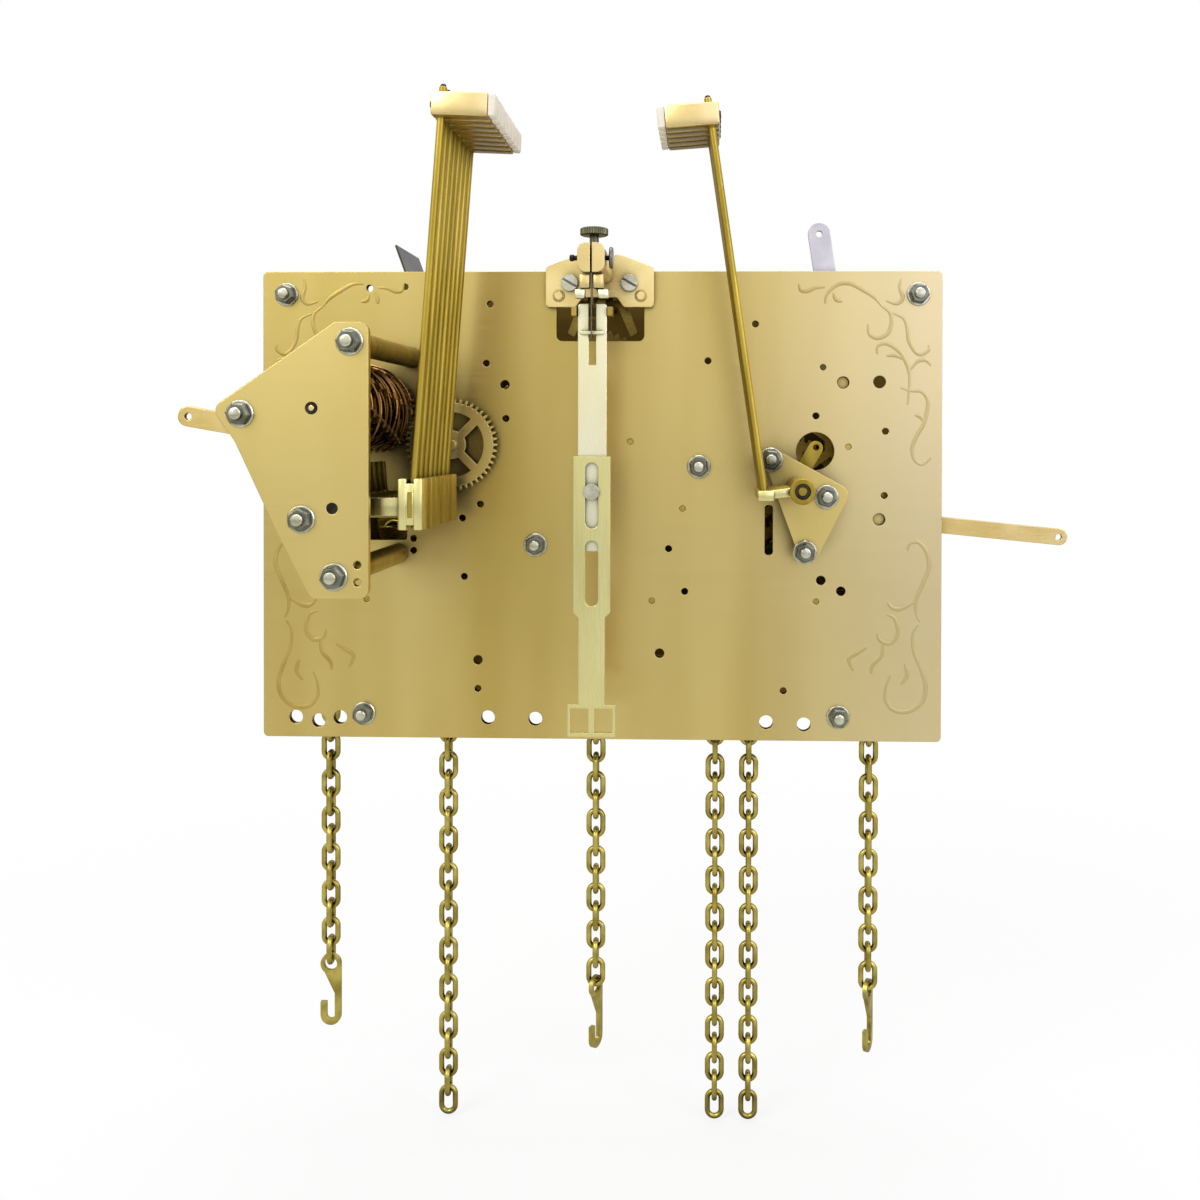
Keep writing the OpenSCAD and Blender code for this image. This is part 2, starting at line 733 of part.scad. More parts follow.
module suspension_thumbscrew() color(steel) translate([0, thumb_y, post_high]) {
  translate([0, 0, -thumb_depth]) cylinder(h = thumb_depth + thumb_lift, r = thumb_stem_r);
  translate([0, 0, thumb_lift]) cylinder(h = thumb_h, r = thumb_r);
}

// The spring is a thin blade, with a pin at its foot that the leader hangs on
spring_pin_l = 7;
spring_pin_r = 0.6;
module suspension_spring() color(steel) {
  block([-spring_t / 2, spring_front, spring_low], [spring_t / 2, spring_back, spring_high]);
  translate([-spring_pin_l / 2, leader_front - spring_pin_r - fit_gap, spring_low + spring_pin_up])
    rotate([0, 90, 0]) cylinder(h = spring_pin_l, r = spring_pin_r);
}

// Pendulum leader: an upper strip, and a slotted lower strip that ends in the pendulum's loop
leader_top = 135;
upper_low = 62;
slit_w = 2.2;
slit_low = 117;
screw_z = 79.6;
leader_screw_r = 1.1;
slotted_low = 44;
slotted_high = 90;
slot_gap = 3.6;
slot_margin = 1.8;
leader_round = 0.8;
shoulder_h = 1.5;
lower_w = 7.8;
loop_low = 7.2;
loop_high = loop_low + loop_h;
slot_middle = (slotted_low + slotted_high) / 2;

module slot(z0, z1) polygon(rounded(box_points(-slot_w / 2, z0, slot_w / 2, z1), slot_w / 2 - fit_gap));

module leader_upper() color(pale_brass) sheet(leader_front, leader_t) difference() {
  polygon(rounded(box_points(-leader_w / 2, upper_low, leader_w / 2, leader_top), leader_round));
  translate([-slit_w / 2, slit_low]) square([slit_w, leader_top]);
  translate([0, screw_z]) circle(leader_screw_r + fit_gap);
}

module leader_lower() color(pale_brass) sheet(lower_front, leader_t) difference() {
  polygon([
    [-loop_w / 2, loop_low], [loop_w / 2, loop_low], [loop_w / 2, loop_high], [lower_w / 2, loop_high],
    [lower_w / 2, slotted_low - shoulder_h], [slotted_w / 2, slotted_low], [slotted_w / 2, slotted_high],
    [-slotted_w / 2, slotted_high], [-slotted_w / 2, slotted_low], [-lower_w / 2, slotted_low - shoulder_h],
    [-lower_w / 2, loop_high], [-loop_w / 2, loop_high]
  ]);
  slot(slotted_low + slot_margin, slot_middle - slot_gap / 2);
  slot(slot_middle + slot_gap / 2, slotted_high - slot_margin);
  for (s = [-1, 1])
    translate([s * loop_w / 4, loop_low + loop_h / 2])
      square([loop_w / 2 - 1.5 * loop_bar, loop_h - 2 * loop_bar], center = true);
}

leader_head_r = 2.4;
leader_head_h = 1.3;
leader_nut_r = 2.4;
leader_nut_h = 1.6;
module leader_screw() color(zinc) {
  bar([0, screw_z], lower_front, leader_back + leader_nut_h, leader_screw_r);
  bar([0, screw_z], lower_front - leader_head_h, lower_front, leader_head_r);
  difference() {
    bar([0, screw_z], leader_back, leader_back + leader_nut_h, leader_nut_r);
    bore([0, screw_z], leader_back, leader_back + leader_nut_h, leader_screw_r + fit_gap);
  }
}

// Verge with its anchor and the crutch that reaches through the window to the leader
pallet_gap = 1.1;
pallet_angle = 40;
pallet_w = 2.5;
pallet_draw = 3;
anchor_corners = [[0, 3.4], [6, 1.4], [4.6, -3.6], [0, -2.6]];
crutch_z0 = 131.4;
crutch_z1 = 134;
crutch_w = 2.6;
crutch_arm_t = 1.4;
crutch_behind = 0.8;
crutch_rear = back_in + crutch_behind;
crutch_gap = 0.4;
crutch_bar_t = 1.4;
prong_past = 1.6;
prong_w = 1.5;
function on_escape(r, a) = time_5 + r * [sin(a), cos(a)];

module anchor() {
  pallet_in = on_escape(escape_r + pallet_gap, pallet_angle);
  pallet_out = on_escape(escape_r + pallet_gap + pallet_w, pallet_angle + pallet_draw);
  at = [0, verge_z];
  half = [at + anchor_corners[0], at + anchor_corners[1], pallet_out, pallet_in,
          at + anchor_corners[2], at + anchor_corners[3]];
  for (side = [0, 1]) mirror([side, 0, 0]) sheet(escape_layer, wheel_t) polygon(half);
}

module crutch() {
  prong_in = leader_w / 2 + side_gap;
  prong_out = prong_in + prong_w;
  bar_front = leader_back + crutch_gap;
  bar_rear = bar_front + crutch_bar_t;
  sheet(crutch_rear, crutch_arm_t) polygon(box_points(-crutch_w / 2, crutch_z0, crutch_w / 2, verge_z));
  block([-crutch_w / 2, bar_front, crutch_z0], [crutch_w / 2, crutch_rear + crutch_arm_t, crutch_z1]);
  block([-prong_out, bar_front, crutch_z0], [prong_out, bar_rear, crutch_z1]);
  for (side = [0, 1]) mirror([side, 0, 0])
    block([prong_in, leader_front - prong_past, crutch_z0], [prong_out, bar_rear, crutch_z1]);
}

module verge() color(brass) {
  at = [0, verge_z];
  bar(at, back_out + side_gap, front_in - side_gap, arbor_r);
  bar(at, cock_out + side_gap, front_out - side_gap, pivot_r);
  anchor();
  crutch();
}

// Going train
escape_teeth = 30;
escape_tooth_h = 1.8;
escape_rim_w = 4;
escape_tip = [0.55, 0.7];
escape_profile = [
  [0, escape_r - escape_tooth_h], [escape_tip[0], escape_r], [escape_tip[1], escape_r]
];
function escape_points() =
  let (pitch = 360 / escape_teeth)
  [for (i = [0:escape_teeth - 1], p = escape_profile)
    p.y * [cos((i + p.x) * pitch), sin((i + p.x) * pitch)]];

module escape_wheel() color(brass) {
  arbor(time_5);
  pinion(time_4, time_5, third_teeth, inner_layer, going_module);
  translate([time_5.x, 0, time_5.y]) sheet(escape_layer, wheel_t) difference() {
    polygon(escape_points());
    crossings(escape_r - escape_rim_w, 4);
  }
}

module third_wheel() color(brass) {
  arbor(time_4);
  pinion(time_3, time_4, centre_teeth, rear_layer, going_module);
  wheel(time_4, third_teeth, going_module, inner_layer);
}

module centre_wheel() color(brass) {
  bar(time_3, back_in + side_gap, front_in - side_gap, arbor_r);
  bar(time_3, back_out + side_gap, front_in, pivot_r);
  bar(time_3, front_in - side_gap, front_out + hand_bush_out, hand_bush_r);
  bar(time_3, front_out, front_out + hand_bush_out + hand_shaft_l, hand_shaft_r);
  pinion(time_2, time_3, wheel_teeth, escape_layer);
  wheel(time_3, centre_teeth, going_module, rear_layer);
}

// An arbor with a pinion on one layer and a wheel on another
module train_wheel(from, at, teeth, pinion_layer, wheel_layer) color(brass) {
  arbor(at);
  pinion(from, at, teeth, pinion_layer);
  wheel(at, wheel_teeth, train_module, wheel_layer);
}

module intermediate_wheel() train_wheel(time_1, time_2, great_teeth, great_layer, escape_layer);

// A great wheel with the sprocket that the chain turns
module great_wheel(at, layer) color(brass) {
  arbor(at);
  wheel(at, great_teeth, train_module, layer);
  bar(at, -groove_half, groove_half, sprocket_r - link_end_r - wire_r - side_gap);
  for (y0 = [groove_half, -groove_half - cheek_t]) bar(at, y0, y0 + cheek_t, sprocket_r + cheek_over);
  bar(at, min(layer, 0), max(layer + wheel_t, 0), great_hub_r);
}

module time_great_wheel() great_wheel(time_1, great_layer);
module chime_great_wheel() great_wheel(chime_1, great_layer);
module strike_great_wheel() great_wheel(strike_1, strike_great_layer);
module chime_second_wheel() train_wheel(chime_1, chime_2, great_teeth, great_layer, rear_layer);
module chime_warning_wheel() train_wheel(chime_3, chime_4, wheel_teeth, inner_layer, outer_layer);
module strike_pin_wheel() train_wheel(strike_1, strike_2, great_teeth, strike_great_layer, outer_layer);
module strike_warning_wheel() train_wheel(strike_2, strike_3, wheel_teeth, outer_layer, inner_layer);

module chime_ratio_wheel() color(brass) {
  arbor(chime_3, ratio_layer - ratio_end);
  pinion(chime_2, chime_3, wheel_teeth, rear_layer);
  wheel(chime_3, wheel_teeth, train_module, inner_layer);
  wheel(chime_3, ratio_teeth, ratio_module, ratio_layer, 0, 4, ratio_spoke_turn);
}

// A fly slows its train with two vanes
vane_t = 0.6;
fly_hub_r = 2.6;
chime_vane = [-20, 11];
chime_vane_r = 15.5;
chime_vane_angle = 110;
strike_vane = [-15, 0];
strike_vane_r = 12;
strike_vane_angle = 60;
module fly(from, at, layer, ends, r, angle) color(steel) {
  arbor(at);
  pinion(from, at, wheel_teeth, layer);
  bar(at, ends[0], ends[1], fly_hub_r);
  translate([at.x, ends[0], at.y]) rotate([0, -angle, 0])
    block([-r, 0, -vane_t / 2], [r, ends[1] - ends[0], vane_t / 2]);
}

module chime_fly() fly(chime_4, chime_5, outer_layer, chime_vane, chime_vane_r, chime_vane_angle);
module strike_fly() fly(strike_3, strike_4, inner_layer, strike_vane, strike_vane_r, strike_vane_angle);

// Chains: alternate links are turned a quarter turn
module link() {
  for (side = [0, 1]) mirror([0, 0, side]) translate([0, 0, link_straight / 2]) rotate([90, 0, 0])
    rotate_extrude(angle = 180) translate([link_end_r, 0]) circle(wire_r, $fn = link_fn);
  for (s = [-1, 1])
    translate([s * link_end_r, 0, -link_straight / 2]) cylinder(h = link_straight, r = wire_r, $fn = link_fn);
}

module strand(x, links, turn = 0) color(chain_brass) {
  for (k = [0:links - 1])
    translate([x, 0, drive_z - link_pitch * (k + 0.5)]) rotate([0, 0, (k + turn) % 2 * 90]) link();
}

module chain_wrap(at, turn) color(chain_brass) for (k = [0:wrap_links - 1])
  let (a = (k + 0.5) * 180 / wrap_links)
    translate([at.x + sprocket_r * cos(a), 0, at.y + sprocket_r * sin(a)])
      rotate([0, -a, 0]) rotate([0, 0, (k + turn) % 2 * 90]) link();

// Stamped hook for a weight, with its eye in the last link
eye_r = 3.5;
eye_hole_r = 2.2;
eye_gap = 0.7;
hook_t = 1.4;
hook_in = 1.4;
hook_out = 3.5;
hook_drop = 17.5;
hook_tip = 4.5;
shank_top = -10;
hook_turn = 25;
hook_steps = 12;
function hook_arc(r, a0, a1) =
  [for (k = [0:hook_steps]) let (a = a0 + (a1 - a0) * k / hook_steps)
    [r * cos(a), -hook_drop + r * sin(a)]];

module hook() sheet(-hook_t / 2, hook_t) difference() {
  union() {
    circle(eye_r);
    polygon(concat([[-hook_out, hook_tip - hook_drop]], hook_arc(hook_out, -180, 0),
                   [[eye_r, 0], [-eye_r, 0], [hook_in, shank_top]],
                   hook_arc(hook_in, 0, -180), [[-hook_in, hook_tip - hook_drop]]));
  }
  circle(eye_hole_r);
}

// The hook at the end of a strand, across its last link
module strand_hook(x, links) color(chain_brass) {
  link_foot = drive_z - link_pitch * (links - 0.5) - link_reach + wire_r;
  translate([x, 0, link_foot + eye_gap - eye_hole_r]) rotate([0, 0, links % 2 * (90 - hook_turn)]) hook();
}

time_weight_links = 21;
chime_weight_links = 20;
strike_weight_links = 21;
module time_chain_wrap() chain_wrap(time_1, 0);
module chime_chain_wrap() chain_wrap(chime_1, 0);
module strike_chain_wrap() chain_wrap(strike_1, 1);
module time_chain_weight() strand(time_1.x - sprocket_r, time_weight_links);
module chime_chain_weight() strand(chime_1.x - sprocket_r, chime_weight_links);
module strike_chain_weight() strand(strike_1.x + sprocket_r, strike_weight_links);
module time_hook() strand_hook(time_1.x - sprocket_r, time_weight_links);
module chime_hook() strand_hook(chime_1.x - sprocket_r, chime_weight_links);
module strike_hook() strand_hook(strike_1.x + sprocket_r, strike_weight_links);
module time_chain_loose() strand(time_1.x + sprocket_r, loose_links, 1);
module chime_chain_loose() strand(chime_1.x + sprocket_r, loose_links, 1);
module strike_chain_loose() strand(strike_1.x - sprocket_r, loose_links, 1);

// Levers
lever_hole_r = 1;
chime_lever_root = [0, -3.3];
chime_lever_end = [-14.9, -0.7];
chime_lever_w = 5.4;
strike_lever_l = 57.6;
strike_lever_w = 5.2;
silence_lever_reach = [-7.3, 47.4];
silence_lever_end = silence_lever_at + silence_lever_reach;
silence_lever_w = 7;
lever_behind = 2;
lever_rear = back_in + lever_behind;
lever_pin_in = 1.4;
lever_ring_w = 2.2;
strike_lever_angle = -5.6;
strike_lever_end = strike_lever_at + strike_lever_l * [cos(strike_lever_angle), sin(strike_lever_angle)];

module chime_lever() color(brass) {
  at = chime_posts[1];
  end = at + chime_lever_end;
  ring_r = bracket_post_r + run_gap + lever_ring_w;
  difference() {
    sheet(bracket_in + side_gap, lever_t) union() {
      circle_at(at, ring_r);
      polygon(rounded(strip_points(at + chime_lever_root, end, chime_lever_w, chime_lever_w / 2),
                      chime_lever_w / 2 - hole_gap));
    }
    bore(at, bracket_in, bracket_in + lever_t + side_gap, bracket_post_r + run_gap);
    bore(end, bracket_in, bracket_in + lever_t + side_gap, lever_hole_r);
  }
}

module circle_at(at, r) translate([at.x, at.y]) circle(r);

// A lever behind the back plate that turns on a pin in the plate
module plate_lever(at, end, w) {
  difference() {
    sheet(lever_rear, lever_t) polygon(rounded(strip_points(at, end, w, w / 2), w / 2 - hole_gap));
    bore(end, lever_rear, lever_rear + lever_t, lever_hole_r);
  }
  bar(at, back_out + lever_pin_in, lever_rear, lever_pin_r);
}

module strike_lever() color(brass) plate_lever(strike_lever_at, strike_lever_end, strike_lever_w);

module silence_lever() color(steel) plate_lever(silence_lever_at, silence_lever_end, silence_lever_w);

back_plate();
front_plate();
plate_pillars();
seat_pillars();
pillar_nuts();
chime_bracket();
bracket_posts();
bracket_nuts();
chime_drum();
chime_hammer_arbor();
for (i = [1:chime_hammers]) chime_hammer(i);
strike_bracket();
strike_arbor();
strike_hammer_rods();
strike_hammer_heads();
suspension_cock();
cock_screws();
suspension_post();
suspension_thumbscrew();
suspension_spring();
leader_upper();
leader_lower();
leader_screw();
verge();
escape_wheel();
third_wheel();
centre_wheel();
intermediate_wheel();
time_great_wheel();
chime_great_wheel();
chime_second_wheel();
chime_ratio_wheel();
chime_warning_wheel();
chime_fly();
strike_great_wheel();
strike_pin_wheel();
strike_warning_wheel();
strike_fly();
time_chain_wrap();
chime_chain_wrap();
strike_chain_wrap();
time_chain_weight();
chime_chain_weight();
strike_chain_weight();
time_hook();
chime_hook();
strike_hook();
time_chain_loose();
chime_chain_loose();
strike_chain_loose();
chime_lever();
strike_lever();
silence_lever();
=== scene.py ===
import json
import math
import random
import bpy
import bmesh
from mathutils import Matrix, Vector


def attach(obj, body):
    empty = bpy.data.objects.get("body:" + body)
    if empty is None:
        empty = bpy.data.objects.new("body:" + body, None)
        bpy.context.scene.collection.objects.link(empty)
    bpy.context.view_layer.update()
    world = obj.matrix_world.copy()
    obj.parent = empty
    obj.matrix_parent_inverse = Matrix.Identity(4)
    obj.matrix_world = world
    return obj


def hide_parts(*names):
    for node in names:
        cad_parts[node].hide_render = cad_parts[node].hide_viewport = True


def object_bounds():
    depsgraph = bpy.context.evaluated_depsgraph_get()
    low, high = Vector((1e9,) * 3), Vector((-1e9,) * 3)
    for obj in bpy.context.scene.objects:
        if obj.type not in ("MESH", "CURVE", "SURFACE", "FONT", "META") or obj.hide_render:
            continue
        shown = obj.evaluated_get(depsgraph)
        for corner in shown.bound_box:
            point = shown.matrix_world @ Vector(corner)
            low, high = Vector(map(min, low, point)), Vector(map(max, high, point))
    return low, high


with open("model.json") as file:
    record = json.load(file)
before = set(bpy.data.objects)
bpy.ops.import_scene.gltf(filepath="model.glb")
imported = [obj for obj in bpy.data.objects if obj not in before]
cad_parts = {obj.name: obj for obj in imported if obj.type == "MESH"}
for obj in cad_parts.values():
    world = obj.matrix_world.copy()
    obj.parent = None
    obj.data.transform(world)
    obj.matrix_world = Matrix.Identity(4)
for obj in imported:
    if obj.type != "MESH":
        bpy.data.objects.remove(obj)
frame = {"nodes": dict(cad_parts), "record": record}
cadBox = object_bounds()
nodes = frame["nodes"]
scene = bpy.context.scene
scene.view_settings.view_transform = "Standard"
mm = 0.001
print("movement loaded,", len(nodes), "nodes")


def point(x, y, z):
    return Vector((x, y, z)) * mm


# the camera stands a little right of the middle and looks square at the back plate; angles in degrees
cameraView = {"place": (35.8, -422.2, 95.9), "turns": ((-0.56, "X"), (-0.144, "Y"), (1.594, "Z"), (90, "X")),
              "lens": 37.44, "shift": (-0.0656, -0.1259), "sensor": 36, "nearest": 10}
cameraData = bpy.data.cameras.new("backView")
cameraData.sensor_width = cameraView["sensor"]
cameraData.lens = cameraView["lens"]
cameraData.shift_x, cameraData.shift_y = cameraView["shift"]
cameraData.clip_start = cameraView["nearest"] * mm
camera = bpy.data.objects.new("backView", cameraData)
scene.collection.objects.link(camera)
stand = Matrix.Translation(point(*cameraView["place"]))
for angle, axis in cameraView["turns"]:
    stand = stand @ Matrix.Rotation(math.radians(angle), 4, axis)
camera.matrix_world = stand
scene.camera = camera


def linear(code):
    parts = [int(code[i:i + 2], 16) / 255 for i in (1, 3, 5)]
    return tuple(c / 12.92 if c <= 0.04045 else ((c + 0.055) / 1.055) ** 2.4 for c in parts) + (1.0,)


def addNode(tree, kind, inputs=None, **settings):
    node = tree.nodes.new(kind)
    for name, value in settings.items():
        setattr(node, name, value)
    for key, value in (inputs or {}).items():
        if isinstance(value, bpy.types.NodeSocket):
            tree.links.new(value, node.inputs[key])
        else:
            node.inputs[key].default_value = value
    return node


def newMaterial(name):
    material = bpy.data.materials.new(name)
    material.use_nodes = True
    material.node_tree.nodes.clear()
    return material, material.node_tree


# the span "given" of a value becomes the span "made"
def mapRange(tree, value, given, made=(0.0, 1.0)):
    return addNode(tree, "ShaderNodeMapRange", {
        "Value": value, "From Min": given[0], "From Max": given[1],
        "To Min": made[0], "To Max": made[1]}).outputs[0]


# sockets of the Mix node when it mixes colours
mixFirst, mixSecond, mixResult = 6, 7, 2


def mixColours(tree, share, first, second, blend="MIX"):
    return addNode(tree, "ShaderNodeMix", {"Factor": share, mixFirst: first, mixSecond: second},
                   data_type="RGBA", blend_type=blend).outputs[mixResult]


def toneRamp(tree, value, finish, places=(0.0, 1.0)):
    tones = addNode(tree, "ShaderNodeValToRGB", {"Fac": value})
    for step, place, code in zip(tones.color_ramp.elements, places, (finish["shade"], finish["colour"])):
        step.position = place
        step.color = linear(code)
    return tones.outputs[0]


# what all the metals share: "tones" and "marks" are the parts of the noise that are used, "relief" how deep
# the marks are in mm, and the colour of a place that is sheltered within "reach" mm is darkened as painted
# shade
metalLook = {"tones": (0.32, 0.68), "marks": (0.3, 0.7), "relief": 0.1, "reach": 30, "sheltered": (0.2, 0.75),
             "paintedShadeRange": (0.06, 1.0), "markDetail": 3.0, "cloudDetail": 1.5}


# metal that was brushed, drawn, cut or plated: "grain" is its marks' width and length in mm along the axis
# "along", "cloud" the size of its slow changes of tone, "edge" the rounding that its edges show, and
# "other" a colour that takes over along an axis of the object or of its normals
def metal(name, finish):
    material, tree = newMaterial(name)
    width, length = finish["grain"]
    stretch = [1 / (width * mm)] * 3
    stretch["XYZ".index(finish["along"])] = 1 / (length * mm)
    coordinates = addNode(tree, "ShaderNodeTexCoord").outputs
    place = coordinates["Object"]

    def noise(scale, detail):
        laid = addNode(tree, "ShaderNodeMapping", {"Vector": place, "Scale": scale})
        return addNode(tree, "ShaderNodeTexNoise", {"Vector": laid.outputs[0], "Scale": 1.0,
                                                    "Detail": detail}).outputs["Fac"]

    marks = noise(stretch, metalLook["markDetail"])
    cloud = noise([1 / (size * mm) for size in finish["cloud"]], metalLook["cloudDetail"])
    base = toneRamp(tree, cloud, finish, metalLook["tones"])
    if "other" in finish:
        other = finish["other"]
        along = addNode(tree, "ShaderNodeSeparateXYZ", {0: coordinates[other["of"]]}).outputs[other["axis"]]
        base = mixColours(tree, mapRange(tree, along, other["span"]), base, linear(other["colour"]))
    # painted shade: ambient occlusion darkens the base colour where other parts stand close
    near = addNode(tree, "ShaderNodeAmbientOcclusion", {"Distance": metalLook["reach"] * mm}, samples=8)
    paintedShade = mapRange(tree, near.outputs["AO"], metalLook["sheltered"], metalLook["paintedShadeRange"])
    base = mixColours(tree, 1.0, base, paintedShade, "MULTIPLY")
    rough = mapRange(tree, marks, metalLook["marks"], finish["rough"])
    relief = addNode(tree, "ShaderNodeBump", {"Height": marks, "Strength": finish["relief"],
                                              "Distance": metalLook["relief"] * mm})
    soft = addNode(tree, "ShaderNodeBevel", {"Radius": finish["edge"] * mm, "Normal": relief.outputs[0]},
                   samples=4)
    shader = addNode(tree, "ShaderNodeBsdfPrincipled", {"Base Color": base, "Metallic": 1.0,
                                                        "Roughness": rough, "Normal": soft.outputs[0]})
    addNode(tree, "ShaderNodeOutputMaterial", {"Surface": shader.outputs[0]})
    return material


# felt or leather: no shine, a fine pile
def softFinish(name, finish):
    material, tree = newMaterial(name)
    place = addNode(tree, "ShaderNodeTexCoord").outputs["Object"]
    pile = addNode(tree, "ShaderNodeTexNoise", {"Vector": place, "Scale": 1 / (finish["pile"] * mm),
                                                "Detail": 4.0}).outputs["Fac"]
    relief = addNode(tree, "ShaderNodeBump", {"Height": pile, "Strength": finish["relief"],
                                              "Distance": finish["deep"] * mm})
    shader = addNode(tree, "ShaderNodeBsdfPrincipled", {
        "Base Color": toneRamp(tree, pile, finish), "Roughness": finish["rough"],
        "Normal": relief.outputs[0]})
    addNode(tree, "ShaderNodeOutputMaterial", {"Surface": shader.outputs[0]})
    return material


# painted light: the plate's colour is paler towards its right edge, where more light falls
paintedLightRightward = {"of": "Object", "axis": "X", "span": (40 * mm, 100 * mm)}
# painted shade: faces that look along -Y, into the movement, take a dark brown
paintedShadeInward = {"of": "Normal", "axis": "Y", "span": (-0.4, -0.6)}
belowTop = {"of": "Object", "axis": "Z", "span": (146 * mm, 145 * mm)}

# brushed and lacquered sheet with broad soft upright bands, on the back plate, with painted light paler
# towards its right edge
plateBrass = metal("brushed_plate_brass", {
    "colour": "#d6c078", "shade": "#c2aa5c", "grain": (0.3, 30), "along": "X", "cloud": (26, 60, 220),
    "rough": (0.28, 0.35), "relief": 0.02, "edge": 0.3, "other": dict(paintedLightRightward, colour="#dccb96")})
# the same sheet on the brackets and the ratio wheel, with painted light: a lighter copy of the plate's colour
bracketBrass = metal("bracket_brass_painted_light", {
    "colour": "#e2cc80", "shade": "#d6bf70", "grain": (0.3, 30), "along": "X", "cloud": (30, 30, 90),
    "rough": (0.28, 0.35), "relief": 0.02, "edge": 0.35})
# front plate: brushed outside; on the face that looks into the movement, painted shade turns it dark brown
frontBrass = metal("plate_brass_painted_shade_inside", {
    "colour": "#d6c078", "shade": "#c2aa5c", "grain": (0.3, 30), "along": "X", "cloud": (26, 60, 220),
    "rough": (0.3, 0.42), "relief": 0.04, "edge": 0.2, "other": dict(paintedShadeInward, colour="#665325")})
# drawn rod, olive gold with lines along its length
rodBrass = metal("drawn_rod_brass", {
    "colour": "#b59d40", "shade": "#957f2c", "grain": (0.25, 16), "along": "Z", "cloud": (3, 5, 60),
    "rough": (0.34, 0.46), "relief": 0.06, "edge": 0.25})
# cast and lacquered hammer heads and suspension post, warm cream
headBrass = metal("lacquered_head_brass", {
    "colour": "#ecd595", "shade": "#e0c684", "grain": (0.3, 4), "along": "X", "cloud": (10, 10, 10),
    "rough": (0.26, 0.36), "relief": 0.05, "edge": 0.4})
# polished pale brass of the leader's upper strip, nearly white in the light
paleBrass = metal("polished_pale_brass", {
    "colour": "#fdfadc", "shade": "#f3edc0", "grain": (0.2, 20), "along": "Z", "cloud": (12, 12, 40),
    "rough": (0.2, 0.3), "relief": 0.04, "edge": 0.35})
# the leader's lower strip, yellower than the upper strip; on the outermost hammer blocks the paler tone is
# painted light on the stack's front
lowerBrass = metal("yellow_strip_and_lit_hammer_brass", {
    "colour": "#eee6a2", "shade": "#dcd28c", "grain": (0.2, 20), "along": "Z", "cloud": (12, 12, 40),
    "rough": (0.22, 0.32), "relief": 0.04, "edge": 0.35})
# orange-cream lacquer of the suspension cock
cockBrass = metal("lacquered_cock_brass", {
    "colour": "#fce8a4", "shade": "#f0d68c", "grain": (0.3, 8), "along": "X", "cloud": (9, 9, 9),
    "rough": (0.26, 0.38), "relief": 0.05, "edge": 0.5})
# stamped levers, a little more orange than the plate
leverBrass = metal("stamped_lever_brass", {
    "colour": "#ead28c", "shade": "#dabf72", "grain": (0.3, 8), "along": "X", "cloud": (10, 10, 10),
    "rough": (0.24, 0.36), "relief": 0.06, "edge": 0.4})
# cut wheels inside the movement
wheelBrass = metal("cut_wheel_brass", {
    "colour": "#c9ae58", "shade": "#a88c40", "grain": (0.2, 3), "along": "X", "cloud": (14, 14, 14),
    "rough": (0.24, 0.36), "relief": 0.06, "edge": 0.15})
# olive brass wire of the chains, dulled by handling
chainBrass = metal("tarnished_chain_brass", {
    "colour": "#c9b85e", "shade": "#9a8938", "grain": (0.3, 2), "along": "Z", "cloud": (5, 5, 5),
    "rough": (0.24, 0.4), "relief": 0.08, "edge": 0.1})
# coppered drum and its wires
copper = metal("coppered_steel", {
    "colour": "#cf9e5c", "shade": "#9c6c3a", "grain": (0.2, 3), "along": "X", "cloud": (8, 8, 8),
    "rough": (0.25, 0.4), "relief": 0.08, "edge": 0.2})
# bright zinc plate of the washers, studs and screws, a warm light grey
zinc = metal("bright_zinc", {
    "colour": "#d9d8c2", "shade": "#b8b59a", "grain": (0.25, 1), "along": "X", "cloud": (3, 3, 3),
    "rough": (0.18, 0.32), "relief": 0.06, "edge": 0.25})
# duller zinc of the nuts, which stand dark between washer and stud
nutZinc = metal("dull_nut_zinc", {
    "colour": "#8a8c7c", "shade": "#66685a", "grain": (0.25, 1), "along": "X", "cloud": (3, 3, 3),
    "rough": (0.24, 0.36), "relief": 0.06, "edge": 0.2})
# bright steel of the silence lever above the plates, with a brass foot and pin
brightSteel = metal("bright_steel", {
    "colour": "#d2cecc", "shade": "#bfbbba", "grain": (0.2, 6), "along": "Z", "cloud": (7, 7, 7),
    "rough": (0.24, 0.36), "relief": 0.06, "edge": 0.3, "other": dict(belowTop, colour="#c8b06a")})
# oiled dark steel of the thumbscrew and the suspension spring, olive grey
oiledSteel = metal("oiled_steel", {
    "colour": "#7b7a5e", "shade": "#57563f", "grain": (0.2, 4), "along": "Y", "cloud": (7, 7, 7),
    "rough": (0.26, 0.4), "relief": 0.06, "edge": 0.2})
# fly vanes, dark olive
flySteel = metal("dark_fly_steel", {
    "colour": "#5e5b36", "shade": "#454325", "grain": (0.2, 4), "along": "Z", "cloud": (7, 7, 7),
    "rough": (0.3, 0.42), "relief": 0.06, "edge": 0.2})
# nearly black screws in the hammer heads and hammer arbor, and the pivot's oil sink, whose darkness is oil
# and painted shade of its hollow
darkSteel = metal("blackened_steel", {
    "colour": "#4a463c", "shade": "#2e2b26", "grain": (0.2, 1), "along": "Y", "cloud": (3, 3, 3),
    "rough": (0.3, 0.42), "relief": 0.06, "edge": 0.15})
# engraved lines, a little darker and browner than the plate, and painted paler towards its right edge as
# painted light
engravedBrass = metal("engraved_line_brass", {
    "colour": "#c0a960", "shade": "#b0984f", "grain": (0.2, 2), "along": "X", "cloud": (6, 6, 6),
    "rough": (0.35, 0.45), "relief": 0.05, "edge": 0.1, "other": dict(paintedLightRightward, colour="#c8b680")})
# warm white felt of the hammers' tips
tipFelt = softFinish("grey_white_felt", {
    "colour": "#f6eee0", "shade": "#e0d6c4", "pile": 0.35, "relief": 0.5, "deep": 0.2, "rough": 0.9})

